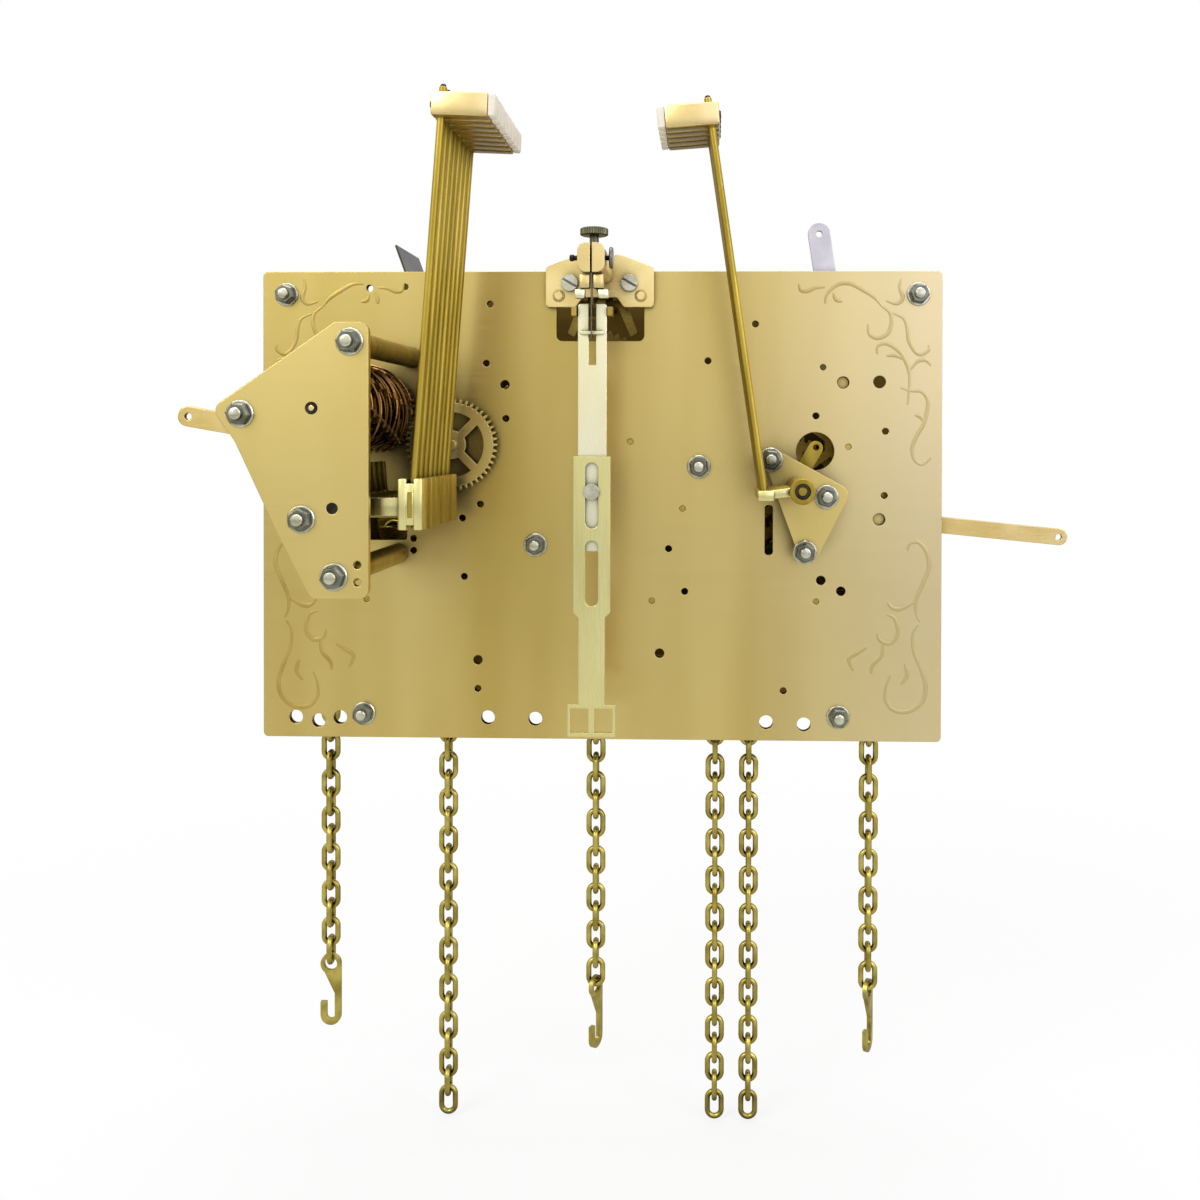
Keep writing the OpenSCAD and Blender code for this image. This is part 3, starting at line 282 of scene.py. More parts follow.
finishes = {"plate_brass": plateBrass, "rod_brass": rodBrass, "pale_brass": paleBrass,
            "wheel_brass": wheelBrass, "chain_brass": chainBrass, "copper": copper, "zinc": zinc,
            "steel": oiledSteel}
ownFinish = {"front_plate": frontBrass, "chime_bracket": bracketBrass, "strike_bracket": bracketBrass,
             "chime_ratio_wheel": bracketBrass, "suspension_cock": cockBrass, "suspension_post": headBrass,
             "chime_lever": leverBrass, "strike_lever": leverBrass, "silence_lever": brightSteel,
             "leader_screw": zinc, "leader_lower": lowerBrass, "verge": wheelBrass, "chime_fly": flySteel,
             "strike_fly": flySteel, "chime_hammer_arbor": darkSteel}
slotOf = {part["node"]: part["material_slot"] for part in frame["record"]["subparts"]}
for name, node in nodes.items():
    node.data.materials.clear()
    node.data.materials.append(ownFinish.get(name, finishes[slotOf[name]]))
print("finishes given to the nodes")


# the angle in degrees from which an edge shows as sharp
sharpEdge = 32


def newPiece(name, bm, materials, body, replaced=()):
    bmesh.ops.recalc_face_normals(bm, faces=bm.faces)
    for face in bm.faces:
        face.smooth = True
    mesh = bpy.data.meshes.new(name)
    bm.to_mesh(mesh)
    bm.free()
    mesh.set_sharp_from_angle(angle=math.radians(sharpEdge))
    for material in materials:
        mesh.materials.append(material)
    piece = bpy.data.objects.new(name, mesh)
    scene.collection.objects.link(piece)
    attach(piece, body)
    if replaced:
        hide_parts(*replaced)


# in the shapes below points are in metres, and radii, bevels and eased edges in mm; index picks the finish
def addBox(bm, low, high, bevel, index, matrix=Matrix()):
    size = [b - a for a, b in zip(low, high)]
    middle = [(a + b) / 2 for a, b in zip(low, high)]
    place = matrix @ Matrix.Translation(middle) @ Matrix.Diagonal((*size, 1))
    made = bmesh.ops.create_cube(bm, size=1, matrix=place)
    faces = dict.fromkeys(face for vert in made["verts"] for face in vert.link_faces)
    for face in faces:
        face.material_index = index
    if bevel:
        edges = list(dict.fromkeys(edge for face in faces for edge in face.edges))
        bmesh.ops.bevel(bm, geom=edges, offset=bevel * mm, segments=2, profile=0.5, affect="EDGES",
                        clamp_overlap=True, material=index)


def addRing(bm, middle, turn, radii):
    angles = [2 * math.pi * k / len(radii) for k in range(len(radii))]
    return [bm.verts.new(middle + turn @ point(radius * math.cos(angle), radius * math.sin(angle), 0))
            for angle, radius in zip(angles, radii)]


# rings that follow each other are joined; the two ends are capped, or else joined to each other
def joinRings(bm, rings, index, capped=True):
    faces = []
    followers = rings[1:] + rings[:1]
    if capped:
        faces = [bm.faces.new(rings[0][::-1]), bm.faces.new(rings[-1])]
        followers = rings[1:]
    for low, high in zip(rings, followers):
        for k in range(len(low)):
            j = (k + 1) % len(low)
            faces.append(bm.faces.new((low[k], low[j], high[j], high[k])))
    for face in faces:
        face.material_index = index


# a turned piece along start to end; profile is a list of (part of the length, radius)
def addTurned(bm, start, end, profile, index, sides=24, capped=True):
    along = end - start
    turn = along.to_track_quat("Z", "Y").to_matrix()
    rings = [addRing(bm, start + along * part, turn, [radius] * sides) for part, radius in profile]
    joinRings(bm, rings, index, capped)


def addRod(bm, start, end, radius, index, sides=20, ease=0.25):
    part = ease * mm / (end - start).length
    addTurned(bm, start, end, [(0, radius - ease), (part, radius), (1 - part, radius), (1, radius - ease)],
              index, sides)


def addTube(bm, start, end, radius, hole, index, sides=24, ease=0.25):
    part = ease * mm / (end - start).length
    addTurned(bm, start, end, [(0, hole), (0, radius - ease), (part, radius), (1 - part, radius),
                               (1, radius - ease), (1, hole)], index, sides, capped=False)


# points at some heights in mm out of a face that looks backwards
def standOut(x, face, z, *heights):
    return [point(x, face - height, z) for height in heights]


# hammers: block, rod, head with its set screw, and soft tip
hammerPitch = 5.8
hammer = {"rod": 1.05, "drop": 5, "headLean": 0.5, "back": 2.6, "length": 15.5, "high": 6.6, "thick": 5.2,
          "ease": 0.7, "tip": 2.2, "tipLap": 0.1, "tipIn": (0.2, 0.3), "tipEase": 0.6, "screw": 1.2,
          "screwProud": 0.5, "screwDeep": 1, "end": 0.8, "endProud": 0.6, "endDeep": 0.3, "hub": 3,
          "hubWide": 4.6, "pin": 2.0, "armFrom": 2.2, "armLap": 1, "armThick": 2.4, "armEase": 0.3}
# a block part is its left and right as shares of the width, its cut above and below and its inset in depth; a
# slot is its left and right in the same way, and its room below and above
chimeHammer = {"pivot": (-64.9, 76.7), "foot": (-46, 80), "top": (-37.6, 190.6), "first": -44.4, "side": 1,
               "count": 8, "block": (-49.5, 70.4, -42.8, 84.4), "blockEase": 0.4,
               "blockParts": ((0, 0.36, 0, 0), (0.64, 1, 0, 0), (0.3, 0.7, 1.3, 0.15)),
               "slot": (0.42, 0.58, 3.4, 3.6), "arm": 5, "armDrop": 0,
               "tail": 11.5, "tailWide": 3, "tailLean": 1}
strikeHammer = {"pivot": (60.9, 80.5), "foot": (50.4, 79), "top": (33.9, 192), "first": -44.05, "side": -1,
                "count": 5, "block": (48.4, 77.7, 53, 80.7), "blockEase": 0.5, "blockParts": ((0, 1, 0, 0),),
                "arm": 2.5, "armDrop": 1}
hammerFinish = [rodBrass, headBrass, tipFelt, darkSteel, lowerBrass]
rodPart, headPart, tipPart, screwPart, paintedLitPart = range(len(hammerFinish))


def addHammer(bm, kind, i):
    y = kind["first"] - hammerPitch * i
    # painted light: the outermost hammer's block and arm take the paler strip brass, the others the darker
    # rod brass
    front = paintedLitPart if i + 1 == kind["count"] else rodPart

    def at(x, z, deep=0.0):
        return point(x, y + deep, z)

    foot, top, pivot = kind["foot"], kind["top"], kind["pivot"]
    rise = Vector((top[0] - foot[0], 0, top[1] - foot[1]))
    up = rise.normalized()
    half = hammer["thick"] / 2
    x0, z0, x1, z1 = kind["block"]
    wide = x1 - x0
    for left, right, cut, inset in kind["blockParts"]:
        deep = half - inset
        addBox(bm, at(x0 + wide * left, z0 + cut, -deep), at(x0 + wide * right, z1 - cut, deep),
               kind["blockEase"], front)
    if "slot" in kind:
        left, right, low, high = kind["slot"]
        addBox(bm, at(x0 + wide * left, z0 + low, -half), at(x0 + wide * right, z1 - high, 0), 0, rodPart)
    addRod(bm, at(*foot), at(*top), hammer["rod"], rodPart)
    # arm to the arbor, its hub and the tail that the drum lifts
    armEnd = x0 + hammer["armLap"] if kind["side"] > 0 else x1 - hammer["armLap"]
    run = Vector((armEnd - pivot[0], 0, -kind["armDrop"]))
    turn = Matrix.Translation(at(*pivot)) @ Matrix.Rotation(-math.atan2(run.z, run.x), 4, "Y")
    thin, high = hammer["armThick"] / 2, kind["arm"] / 2
    addBox(bm, point(hammer["armFrom"], -thin, -high), point(run.length, thin, high), hammer["armEase"],
           front, turn)
    reach = hammer["hubWide"] / 2
    addTube(bm, at(*pivot, -reach), at(*pivot, reach), hammer["hub"], hammer["pin"], rodPart)
    if "tail" in kind:
        turn = Matrix.Translation(at(*pivot)) @ Matrix.Rotation(
            math.atan2(-kind["tailLean"], kind["tail"]), 4, "Y")
        broad = kind["tailWide"] / 2
        addBox(bm, point(-broad, -thin, hammer["armFrom"]), point(broad, thin, kind["tail"]),
               hammer["armEase"], rodPart, turn)
    # head, tip and screw lie across the rod
    seat = at(*top) - up * hammer["drop"] * mm
    lean = math.atan2(rise.x, rise.z) * hammer["headLean"]
    lay = Matrix.Translation(seat) @ Matrix.Rotation(lean, 4, "Y") @ Matrix.Diagonal((kind["side"], 1, 1, 1))
    tall, back = hammer["high"] / 2, hammer["back"]
    ahead = hammer["length"] - back
    addBox(bm, point(-back, -half, -tall), point(ahead, half, tall), hammer["ease"], headPart, lay)
    tipFrom = ahead - hammer["tipLap"]
    inY, inZ = hammer["tipIn"]
    addBox(bm, point(tipFrom, inY - half, inZ - tall), point(tipFrom + hammer["tip"], half - inY, tall - inZ),
           hammer["tipEase"], tipPart, lay)
    addRod(bm, lay @ point(-back - hammer["screwProud"], 0, 0), lay @ point(hammer["screwDeep"] - back, 0, 0),
           hammer["screw"], screwPart, 16)
    addRod(bm, at(*top) + up * hammer["endProud"] * mm, at(*top) - up * hammer["endDeep"] * mm,
           hammer["end"], screwPart, 12)


for i in range(chimeHammer["count"]):
    bm = bmesh.new()
    addHammer(bm, chimeHammer, i)
    name = f"chime_hammer_{i + 1}"
    newPiece("shown_" + name, bm, hammerFinish, name, [name])

# the strike hammers share an arbor, and its end is a collar: a ring round a dark seat with a pin in it
strikeCollar = {"face": -71.25, "ring": 3.7, "hole": 2.3, "proud": 0.8, "seat": 2.4, "seatProud": 0.1,
                "seatEase": 0.05, "pin": 1.3, "pinProud": 0.5, "pinEase": 0.2}
bm = bmesh.new()
for i in range(strikeHammer["count"]):
    addHammer(bm, strikeHammer, i)
collarX, collarZ = strikeHammer["pivot"]
foot, ringTop, seatFoot, seatTop, pinTop = standOut(
    collarX, strikeCollar["face"], collarZ, 0, strikeCollar["proud"], -strikeCollar["seatProud"],
    strikeCollar["seatProud"], strikeCollar["pinProud"])
addTube(bm, foot, ringTop, strikeCollar["ring"], strikeCollar["hole"], rodPart)
addRod(bm, seatFoot, seatTop, strikeCollar["seat"], screwPart, 24, strikeCollar["seatEase"])
addRod(bm, foot, pinTop, strikeCollar["pin"], rodPart, 20, strikeCollar["pinEase"])
newPiece("shown_strike_hammers", bm, hammerFinish, "strike_hammers",
         ["strike_hammer_rods", "strike_hammer_heads"])
print("hammers made")


# geometry nodes: one tree sets a template on every point of a mesh, the other turns lines into wire
def newTree(name, sockets):
    tree = bpy.data.node_groups.new(name, "GeometryNodeTree")
    tree.interface.new_socket("Geometry", in_out="OUTPUT", socket_type="NodeSocketGeometry")
    tree.interface.new_socket("Geometry", in_out="INPUT", socket_type="NodeSocketGeometry")
    for label, kind in sockets.items():
        tree.interface.new_socket(label, in_out="INPUT", socket_type=kind)
    return tree, addNode(tree, "NodeGroupInput").outputs


def namedValue(tree, name, kind):
    found = addNode(tree, "GeometryNodeInputNamedAttribute", {"Name": name}, data_type=kind)
    return found.outputs["Attribute"]


def endTree(tree, shape, finish):
    shape = addNode(tree, "GeometryNodeRealizeInstances", {"Geometry": shape.outputs[0]})
    shape = addNode(tree, "GeometryNodeSetMaterial", {"Geometry": shape.outputs[0], "Material": finish})
    addNode(tree, "NodeGroupOutput", {"Geometry": shape.outputs[0]})


placingTree, given = newTree("set_on_points", {"Template": "NodeSocketObject",
                                               "Finish": "NodeSocketMaterial"})
turned = addNode(placingTree, "FunctionNodeEulerToRotation", {
    "Euler": namedValue(placingTree, "turn", "FLOAT_VECTOR")})
template = addNode(placingTree, "GeometryNodeObjectInfo", {"Object": given["Template"]})
placed = addNode(placingTree, "GeometryNodeInstanceOnPoints", {
    "Points": given["Geometry"], "Instance": template.outputs["Geometry"], "Rotation": turned.outputs[0]})
endTree(placingTree, placed, given["Finish"])

wireTree, given = newTree("lines_to_wire", {"Sides": "NodeSocketInt", "Flatten": "NodeSocketVector",
                                            "Shift": "NodeSocketVector", "Finish": "NodeSocketMaterial"})
ring = addNode(wireTree, "GeometryNodeCurvePrimitiveCircle", {"Resolution": given["Sides"], "Radius": 1.0})
wire = addNode(wireTree, "GeometryNodeMeshToCurve", {"Mesh": given["Geometry"]})
wire = addNode(wireTree, "GeometryNodeCurveToMesh", {
    "Curve": wire.outputs[0], "Profile Curve": ring.outputs["Curve"],
    "Scale": namedValue(wireTree, "wide", "FLOAT"), "Fill Caps": True})
wire = addNode(wireTree, "GeometryNodeTransform", {
    "Geometry": wire.outputs[0], "Scale": given["Flatten"], "Translation": given["Shift"]})
endTree(wireTree, wire, given["Finish"])


def runTree(name, tree, mesh, inputs, body, replaced=()):
    carrier = bpy.data.objects.new(name + "_carrier", mesh)
    scene.collection.objects.link(carrier)
    run = carrier.modifiers.new("run", "NODES")
    run.node_group = tree
    for socket in tree.interface.items_tree:
        if socket.in_out == "INPUT" and socket.name in inputs:
            run[socket.identifier] = inputs[socket.name]
    shape = bpy.data.meshes.new_from_object(carrier.evaluated_get(bpy.context.evaluated_depsgraph_get()))
    carrier.modifiers.remove(run)
    bpy.data.objects.remove(carrier)
    bm = bmesh.new()
    bm.from_mesh(shape)
    newPiece(name, bm, [inputs["Finish"]], body, replaced)


# template on points: each place is (x, y, z) in mm, the way it faces along Y (-1 or 1) and its spin
def setOnPoints(name, bm, places, finish, body, replaced=()):
    bmesh.ops.recalc_face_normals(bm, faces=bm.faces)
    mesh = bpy.data.meshes.new(name + "_template")
    bm.to_mesh(mesh)
    bm.free()
    single = bpy.data.objects.new(name + "_template", mesh)
    scene.collection.objects.link(single)
    points = bpy.data.meshes.new(name + "_points")
    points.from_pydata([point(*at) for at, facing, spin in places], [], [])
    turn = points.attributes.new("turn", "FLOAT_VECTOR", "POINT")
    for k, (at, facing, spin) in enumerate(places):
        turn.data[k].vector = (-facing * math.pi / 2, spin, 0)
    runTree(name, placingTree, points, {"Template": single, "Finish": finish}, body, replaced)
    bpy.data.objects.remove(single)


# wire along lines: each line is a list of (x, y, z) in mm, wide its radius in mm and taper what its ends keep
# of it; the wire is scaled by flatten and moved by shift
def wireAlong(name, lines, look, finish, body):
    verts = [point(*at) for line in lines for at in line]
    edges, widths, first = [], [], 0
    for line in lines:
        last = len(line) - 1
        edges += [(first + k, first + k + 1) for k in range(last)]
        widths += [look["wide"] * mm * (look["taper"] + (1 - look["taper"]) * math.sin(math.pi * k / last))
                   for k in range(last + 1)]
        first += last + 1
    mesh = bpy.data.meshes.new(name + "_lines")
    mesh.from_pydata(verts, edges, [])
    mesh.attributes.new("wide", "FLOAT", "POINT").data.foreach_set("value", widths)
    inputs = {"Sides": look["sides"], "Flatten": look["flatten"], "Shift": point(*look["shift"]),
              "Finish": finish}
    runTree(name, wireTree, mesh, inputs, body)


# washers, nuts and stud ends on the pillars, posts and studs; each profile is (part of the height, share of
# the radius)
fastener = {"washer": 3.7, "washerThick": 0.6, "washerEase": 0.25, "flats": 5.5, "high": 2.4, "stud": 1.62,
            "proud": 1.4, "studProfile": ((0, 1), (0.9, 1), (0.97, 0.85), (1, 0.5)),
            "nutProfile": ((0, 0.92), (0.1, 1), (0.8, 1), (1, 0.86))}
backFace, frontFace, chimeFace, strikeFace = -28.4, 28.4, -95.4, -38.7
pillarAt = [(-100, 140.8), (100, 140.8), (-75.3, 7.6), (75.3, 7.6)]
shortStudAt = [(-20.5, 61.5), (31.2, 86.4)]
chimePostAt = [(-60.2, 120.8), (-89.4, 101.7), (-73.1, 73.8), (-64.4, 58.6)]
strikePostAt = [(53.4, 88.9), (70.5, 77.5), (63.9, 60.5)]
nutRows = ((pillarAt, backFace, -1), (shortStudAt, backFace, -1), (pillarAt, frontFace, 1),
           (chimePostAt, chimeFace, -1), (strikePostAt, strikeFace, -1))
spins = random.Random(7)
nutPlaces = [((x, y, z), facing, spins.uniform(0, math.pi / 3)) for at, y, facing in nutRows for x, z in at]
washerTop = point(0, 0, fastener["washerThick"])
nutTop = washerTop + point(0, 0, fastener["high"])
rim, stud, corner = fastener["washer"], fastener["stud"], fastener["flats"] / math.sqrt(3)
bm = bmesh.new()
addTurned(bm, point(0, 0, 0), washerTop, [(0, rim), (0.6, rim), (1, rim - fastener["washerEase"])], 0, 40)
addTurned(bm, washerTop, nutTop + point(0, 0, fastener["proud"]),
          [(part, stud * share) for part, share in fastener["studProfile"]], 0, 24)
setOnPoints("shown_washers", bm, nutPlaces, zinc, "frame", ["pillar_nuts", "bracket_nuts"])
bm = bmesh.new()
addTurned(bm, washerTop, nutTop, [(part, corner * share) for part, share in fastener["nutProfile"]], 0, 6)
setOnPoints("shown_nuts", bm, nutPlaces, nutZinc, "frame")
print("nuts made")


# a smooth line through a few points
def smooth(points, steps=6):
    points = [Vector(p) for p in points]
    line = []
    for k in range(len(points) - 1):
        a, b, c, d = (points[min(max(k + j, 0), len(points) - 1)] for j in (-1, 0, 1, 2))
        for t in (i / steps for i in range(steps)):
            line.append(b + (c - a) * t / 2 + (a - 2.5 * b + 2 * c - d / 2) * t ** 2
                        + (1.5 * b - a / 2 - 1.5 * c + d / 2) * t ** 3)
    return line + [points[-1]]


# engraved scrolls in the plate's corners: strokes in mm from the side edge and from the top or bottom edge
scroll = {"wide": 0.68, "taper": 0.4, "sides": 8, "flatten": (1, 0.1, 1), "shift": (0, backFace, 0)}
plateHalf, plateTop, holeRoom, fewest = 107.5, 148, 0.7, 3
topStrokes = [
    [(45, 4), (44.3, 6), (42.3, 6.2), (39.7, 5.2), (36.8, 5)],
    [(36.7, 10.2), (36.1, 7.1), (32.8, 4.2), (28.9, 3.9), (25.1, 5.8), (21.2, 8.4), (19, 11)],
    [(34.1, 6.7), (33.3, 8.9), (31.3, 9.5)],
    [(19, 11), (16.4, 13.2), (16, 16.6), (17.3, 19.7), (20.3, 21), (22.9, 19.7), (23.3, 16.6)],
    [(13, 2.4), (13.4, 5), (12.5, 8.4), (14.3, 10.2), (17.7, 9.3)],
    [(15.6, 13.2), (12.1, 14.9), (11, 17.9), (10.4, 21.8), (8.4, 25.3), (6.5, 26.1), (4.3, 24.8),
     (4.3, 23.1)],
    [(20.3, 26.1), (20.3, 23.7), (17.7, 22.7), (14.3, 24.4), (12.1, 27), (10.6, 30.5), (10.2, 34.3),
     (10.8, 42)],
    [(17.5, 26.6), (14.6, 26.4), (12.4, 27.6)],
    [(3.5, 29.6), (5.2, 27.9), (7.8, 28.3), (9.9, 30.9)],
    [(13, 36.5), (9.9, 37.6), (6.5, 37.8), (4.5, 40.4), (4.8, 44.3), (6, 48.2), (8.2, 52.1), (9.3, 55.9),
     (8.4, 59.4), (6, 60.7), (3.5, 58.5)],
    [(8.6, 45.1), (6.9, 45.6), (5.6, 47.2)]]
lowStrokes = [
    [(10.6, 60.1), (9.9, 62.4), (7.2, 62.8), (4.6, 59.6), (3.9, 55), (5.8, 49.9), (7.9, 44.8), (7.9, 40.7),
     (6.7, 37.9)],
    [(8.1, 44.4), (12.2, 42), (15, 42), (16.9, 43.9)],
    [(7.2, 37), (9, 33.7), (8.5, 28.2), (6.2, 22.6), (4.8, 17.6), (5.8, 12.8), (9.9, 9.6), (14.6, 9.8),
     (17.3, 12.9), (17.3, 17.1), (15.9, 20.8)],
    [(20.1, 34.2), (19.2, 31.9), (15.9, 31), (13.6, 34.2), (14.6, 38.8), (17.3, 40.2)],
    [(18.2, 31.4), (18.7, 27.3), (21.5, 24), (21.9, 21.3)],
    [(23.3, 29.6), (26.6, 27.7), (28.9, 25.9), (27.5, 22.2)],
    [(12.6, 18), (10.6, 21), (11.4, 24.6)]]
# holes that a stroke stops short of: x, z and radius
plateHoles = [(-73.4, 142.8, 1.1), (87.9, 113.2, 2), (89.8, 97.7, 1.1), (-100, 140.8, 3.7), (100, 140.8, 3.7)]
scrollLines = []
for strokes, edge, up in ((topStrokes, plateTop, -1), (lowStrokes, 0, 1)):
    for side in (-1, 1):
        for stroke in strokes:
            line = []
            for u, v in smooth(stroke):
                x, z = side * (plateHalf - u), edge + up * v
                if all(math.hypot(x - hx, z - hz) > r + holeRoom for hx, hz, r in plateHoles):
                    line.append((x, 0, z))
                elif len(line) >= fewest:
                    scrollLines.append(line)
                    line = []
            if len(line) >= fewest:
                scrollLines.append(line)
wireAlong("engraved_scrolls", scrollLines, scroll, engravedBrass, "frame")
print("scrolls engraved")

# suspension spring: ribbon with brass cheeks and pins, the pair of each laid out from the middle
ribbon = {"thick": 0.3, "front": -58.2, "back": -53.4, "low": 125, "high": 150.6}
cheek = {"in": 0.5, "out": 3.5, "front": -58, "back": -54.8, "low": 139.3, "high": 143.4}
hangPin = {"in": 1.9, "out": 4.9, "front": -57.6, "back": -55, "low": 136.4, "high": 139}
lowPin = {"half": 3.5, "radius": 0.6, "y": -55.25, "z": 126.5, "ease": 0.15}
blockEase = 0.35
ribbonPart, cheekPart, pinPart = range(3)


def addSpan(bm, x0, x1, block, bevel, index):
    addBox(bm, point(x0, block["front"], block["low"]), point(x1, block["back"], block["high"]), bevel, index)


bm = bmesh.new()
addSpan(bm, -ribbon["thick"] / 2, ribbon["thick"] / 2, ribbon, 0, ribbonPart)
for block, index in ((cheek, cheekPart), (hangPin, pinPart)):
    addSpan(bm, -block["out"], -block["in"], block, blockEase, index)
    addSpan(bm, block["in"], block["out"], block, blockEase, index)
addRod(bm, point(-lowPin["half"], lowPin["y"], lowPin["z"]), point(lowPin["half"], lowPin["y"], lowPin["z"]),
       lowPin["radius"], pinPart, 16, lowPin["ease"])
newPiece("shown_suspension_spring", bm, [oiledSteel, headBrass, paleBrass], "frame",
         ["suspension_spring"])

# knurled thumbscrew; its profile is (part of the height, share of the radius)
thumb = {"y": -49.2, "low": 155.8, "high": 158.2, "radius": 4.2, "ribs": 36, "deep": 0.22, "stem": 1.4,
         "stemLow": 149, "stemLap": 0.2, "stemEase": 0.2,
         "profile": ((0, 0.86), (0.14, 1), (0.86, 1), (1, 0.86))}
bm = bmesh.new()
addRod(bm, point(0, thumb["y"], thumb["stemLow"]), point(0, thumb["y"], thumb["low"] + thumb["stemLap"]),
       thumb["stem"], 0, 20, thumb["stemEase"])
ribRadii = [thumb["radius"], thumb["radius"] - thumb["deep"]] * thumb["ribs"]
rings = []
for part, keep in thumb["profile"]:
    z = thumb["low"] + (thumb["high"] - thumb["low"]) * part
    radii = [radius * keep for radius in ribRadii]
    rings.append(addRing(bm, point(0, thumb["y"], z), Matrix.Identity(3), radii))
joinRings(bm, rings, 0)
newPiece("shown_thumbscrew", bm, [oiledSteel], "suspension_thumbscrew", ["suspension_thumbscrew"])

# clamp screw through the suspension post: each rod's left and right end, radius, finish, sides and ease
clamp = {"y": -54, "z": 148.6, "rods": ((-6.2, 5, 0.75, 0, 16, 0.15), (-6.8, -5.4, 1.0, 0, 16, 0.25),
                                        (5, 6.1, 3.2, 1, 32, 0.3))}
bm = bmesh.new()
for left, right, *form in clamp["rods"]:
    addRod(bm, point(left, clamp["y"], clamp["z"]), point(right, clamp["y"], clamp["z"]), *form)
newPiece("suspension_clamp_screw", bm, [darkSteel, nutZinc], "frame")

# rivet rings on the cock
rivet = {"ring": 1.9, "hole": 1.32, "proud": 0.25, "deep": 0.2, "face": -30.9, "x": 12.9, "z": 140}
bm = bmesh.new()
addTube(bm, point(0, 0, -rivet["deep"]), point(0, 0, rivet["proud"]), rivet["ring"], rivet["hole"], 0)
rivetPlaces = [((side * rivet["x"], rivet["face"], rivet["z"]), -1, 0) for side in (-1, 1)]
setOnPoints("cock_rivet_rings", bm, rivetPlaces, leverBrass, "frame")
print("suspension made")

# thin copper wires wound over the drum between its cams; each draws its place in hammer pitches, slant in mm,
# start and sweep in radians and radius
drumWire = {"middle": (-70.4, 103.24), "first": -44.4, "place": (0.1, 6.9), "slant": (-5, 5),
            "start": (-1.2, 0.4), "sweep": (0.9, 1.9), "radius": (12.6, 14.2), "count": 26, "steps": 14}
wireLook = {"wide": 0.34, "taper": 0.8, "sides": 6, "flatten": (1, 1, 1), "shift": (0, 0, 0)}
drumX, drumZ = drumWire["middle"]
winding = random.Random(11)
wireLines = []
for k in range(drumWire["count"]):
    place, slant, start, sweep, radius = (
        winding.uniform(*drumWire[key]) for key in ("place", "slant", "start", "sweep", "radius"))
    y = drumWire["first"] - hammerPitch * place
    line = []
    for step in range(drumWire["steps"] + 1):
        t = step / drumWire["steps"]
        angle = start + sweep * t
        line.append((drumX + radius * math.cos(angle), y + slant * (t - 0.5),
                     drumZ + radius * math.sin(angle)))
    wireLines.append(line)
wireAlong("drum_wires", wireLines, wireLook, copper, "chime_drum")
print("drum wires wound")

# the drum's pivot in its oil sink on the chime bracket: a flat dark disc, dark from oil and from painted
# shade that stands for the sink's hollow
pivotEnd = {"sink": 1.7, "sinkDeep": 0.1, "sinkProud": 0.08, "sinkEase": 0.04, "pin": 0.75, "pinProud": 0.3,
            "pinEase": 0.15}
sinkFoot, sinkTop, pinFoot, pinTop = standOut(drumX, chimeFace, drumZ, -pivotEnd["sinkDeep"],
                                              pivotEnd["sinkProud"], 0, pivotEnd["pinProud"])
bm = bmesh.new()
addRod(bm, sinkFoot, sinkTop, pivotEnd["sink"], 0, 28, pivotEnd["sinkEase"])
addRod(bm, pinFoot, pinTop, pivotEnd["pin"], 1, 16, pivotEnd["pinEase"])
newPiece("drum_pivot_end", bm, [darkSteel, headBrass], "frame")

# world: white to the eye, banded in reflections, where its foot and far side are darker, and quieter on dull
# surfaces; a band is its place from left to right, its level and how blue it is
roomBands = ((0.0, 1.0, 1.0), (0.33, 1.02, 1.0), (0.4, 1.07, 1.0), (0.45, 1.12, 1.0), (0.485, 1.0, 0.95),
             (0.515, 0.84, 0.9), (0.55, 1.36, 1.15), (0.6, 1.62, 1.35), (1.0, 1.15, 1.0))
room = {"foot": ((-0.7, 0.1), (0.5, 1.0)), "rear": ((0.1, 0.9), (1.0, 0.55)), "dull": 0.55}
white = (1, 1, 1, 1)
world = bpy.data.worlds.new("softRoom")
scene.world = world
world.use_nodes = True
tree = world.node_tree
tree.nodes.clear()
ray = addNode(tree, "ShaderNodeLightPath").outputs
seen = addNode(tree, "ShaderNodeMath", {0: ray["Is Camera Ray"], 1: ray["Is Transmission Ray"]},
               operation="MAXIMUM")
around = addNode(tree, "ShaderNodeTexCoord").outputs["Generated"]
apart = addNode(tree, "ShaderNodeSeparateXYZ", {0: around}).outputs
bands = addNode(tree, "ShaderNodeValToRGB", {"Fac": mapRange(tree, apart["X"], (-1.0, 1.0))})
ramp = bands.color_ramp
for place, level, blue in roomBands:
    step = ramp.elements.new(place)
    step.color = (level, level, level * blue, 1)
ramp.elements.remove(ramp.elements[-1])
shine = addNode(tree, "ShaderNodeMath", {0: mapRange(tree, apart["Z"], *room["foot"]),
                                         1: mapRange(tree, apart["Y"], *room["rear"])}, operation="MULTIPLY")
plain = addNode(tree, "ShaderNodeBackground", {"Color": white, "Strength": room["dull"]})
glossy = addNode(tree, "ShaderNodeBackground", {"Color": bands.outputs[0], "Strength": shine.outputs[0]})
bright = addNode(tree, "ShaderNodeBackground", {"Color": white, "Strength": 1.0})
lit = addNode(tree, "ShaderNodeMixShader", {0: ray["Is Glossy Ray"], 1: plain.outputs[0],
                                            2: glossy.outputs[0]})
full = addNode(tree, "ShaderNodeMixShader", {0: seen.outputs[0], 1: lit.outputs[0], 2: bright.outputs[0]})
addNode(tree, "ShaderNodeOutputWorld", {"Surface": full.outputs[0]})


def addLamp(name, lamp):
    data = bpy.data.lights.new(name, "AREA")
    data.shape = "RECTANGLE"
    data.size, data.size_y = lamp["size"]
    data.energy = lamp["power"]
    holder = bpy.data.objects.new(name, data)
    holder.location = lamp["place"]
    towards = Vector(lamp["aim"]) - Vector(lamp["place"])
    holder.rotation_euler = towards.to_track_quat("-Z", "Y").to_euler()
    scene.collection.objects.link(holder)


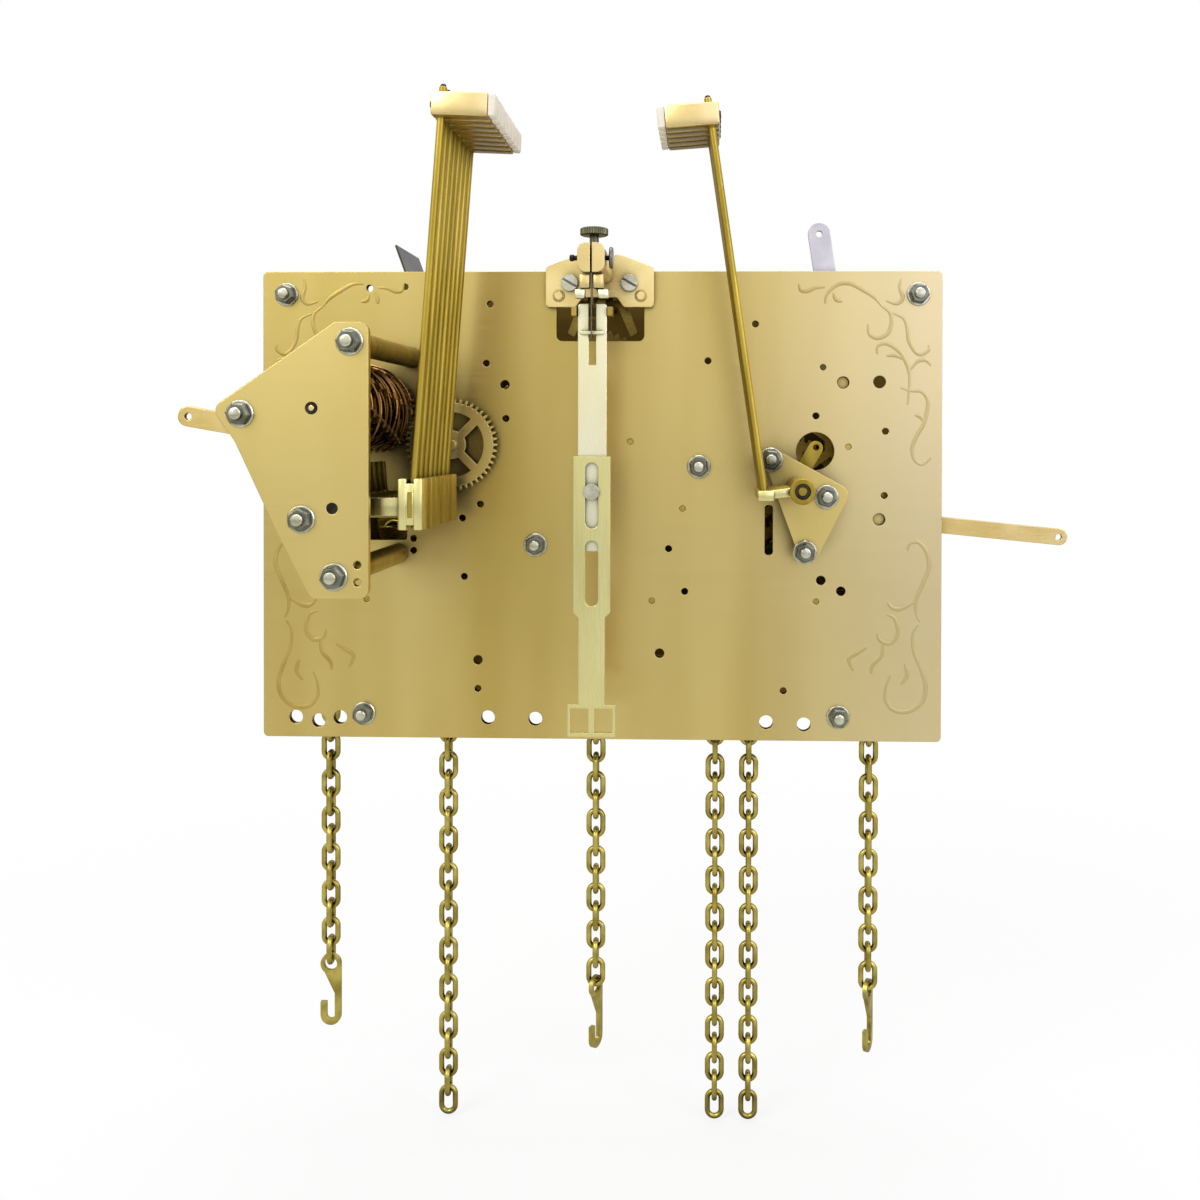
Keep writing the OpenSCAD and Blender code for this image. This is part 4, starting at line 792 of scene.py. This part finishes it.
# places, aims and sizes in metres, power in watts
addLamp("leftLamp", {"place": (-0.7, -0.8, 0.8), "aim": (0, 0, 0.08), "size": (0.6, 0.8), "power": 7})
addLamp("rightLamp", {"place": (0.8, -0.6, 0.5), "aim": (0, 0, 0.08), "size": (0.4, 0.8), "power": 3})
addLamp("topLamp", {"place": (0, 0.1, 1.0), "aim": (0, 0, 0.1), "size": (0.7, 0.5), "power": 4})

# floor: white paper that fades into the world, and is darker towards the back in reflections
paper = {"tone": "#f4f4f4", "mirrored": ((-0.1, 0.4), (0.72, 0.4)), "fade": ((0.1, 0.5), (0.8, 1.0)),
         "size": 6, "below": 0.5}
floorLook, tree = newMaterial("white_paper_floor")
ray = addNode(tree, "ShaderNodeLightPath").outputs
paperPlace = addNode(tree, "ShaderNodeTexCoord").outputs["Object"]
backward = addNode(tree, "ShaderNodeSeparateXYZ", {0: paperPlace}).outputs["Y"]
paperTone = mixColours(tree, ray["Is Glossy Ray"], linear(paper["tone"]),
                       mapRange(tree, backward, *paper["mirrored"]))
flat = addNode(tree, "ShaderNodeBsdfDiffuse", {"Color": paperTone})
glow = addNode(tree, "ShaderNodeEmission", {"Color": white, "Strength": 1.0})
away = addNode(tree, "ShaderNodeVectorMath", {0: paperPlace}, operation="LENGTH").outputs["Value"]
share = addNode(tree, "ShaderNodeMath", {0: ray["Is Camera Ray"], 1: mapRange(tree, away, *paper["fade"])},
                operation="MULTIPLY")
sheet = addNode(tree, "ShaderNodeMixShader", {0: share.outputs[0], 1: flat.outputs[0], 2: glow.outputs[0]})
addNode(tree, "ShaderNodeOutputMaterial", {"Surface": sheet.outputs[0]})
bm = bmesh.new()
bmesh.ops.create_grid(bm, x_segments=1, y_segments=1, size=paper["size"])
floorMesh = bpy.data.meshes.new("floor")
bm.to_mesh(floorMesh)
bm.free()
floorMesh.materials.append(floorLook)
floor = bpy.data.objects.new("floor", floorMesh)
floor.location.z = cadBox[0][2] - paper["below"] * mm
scene.collection.objects.link(floor)
print("room made")
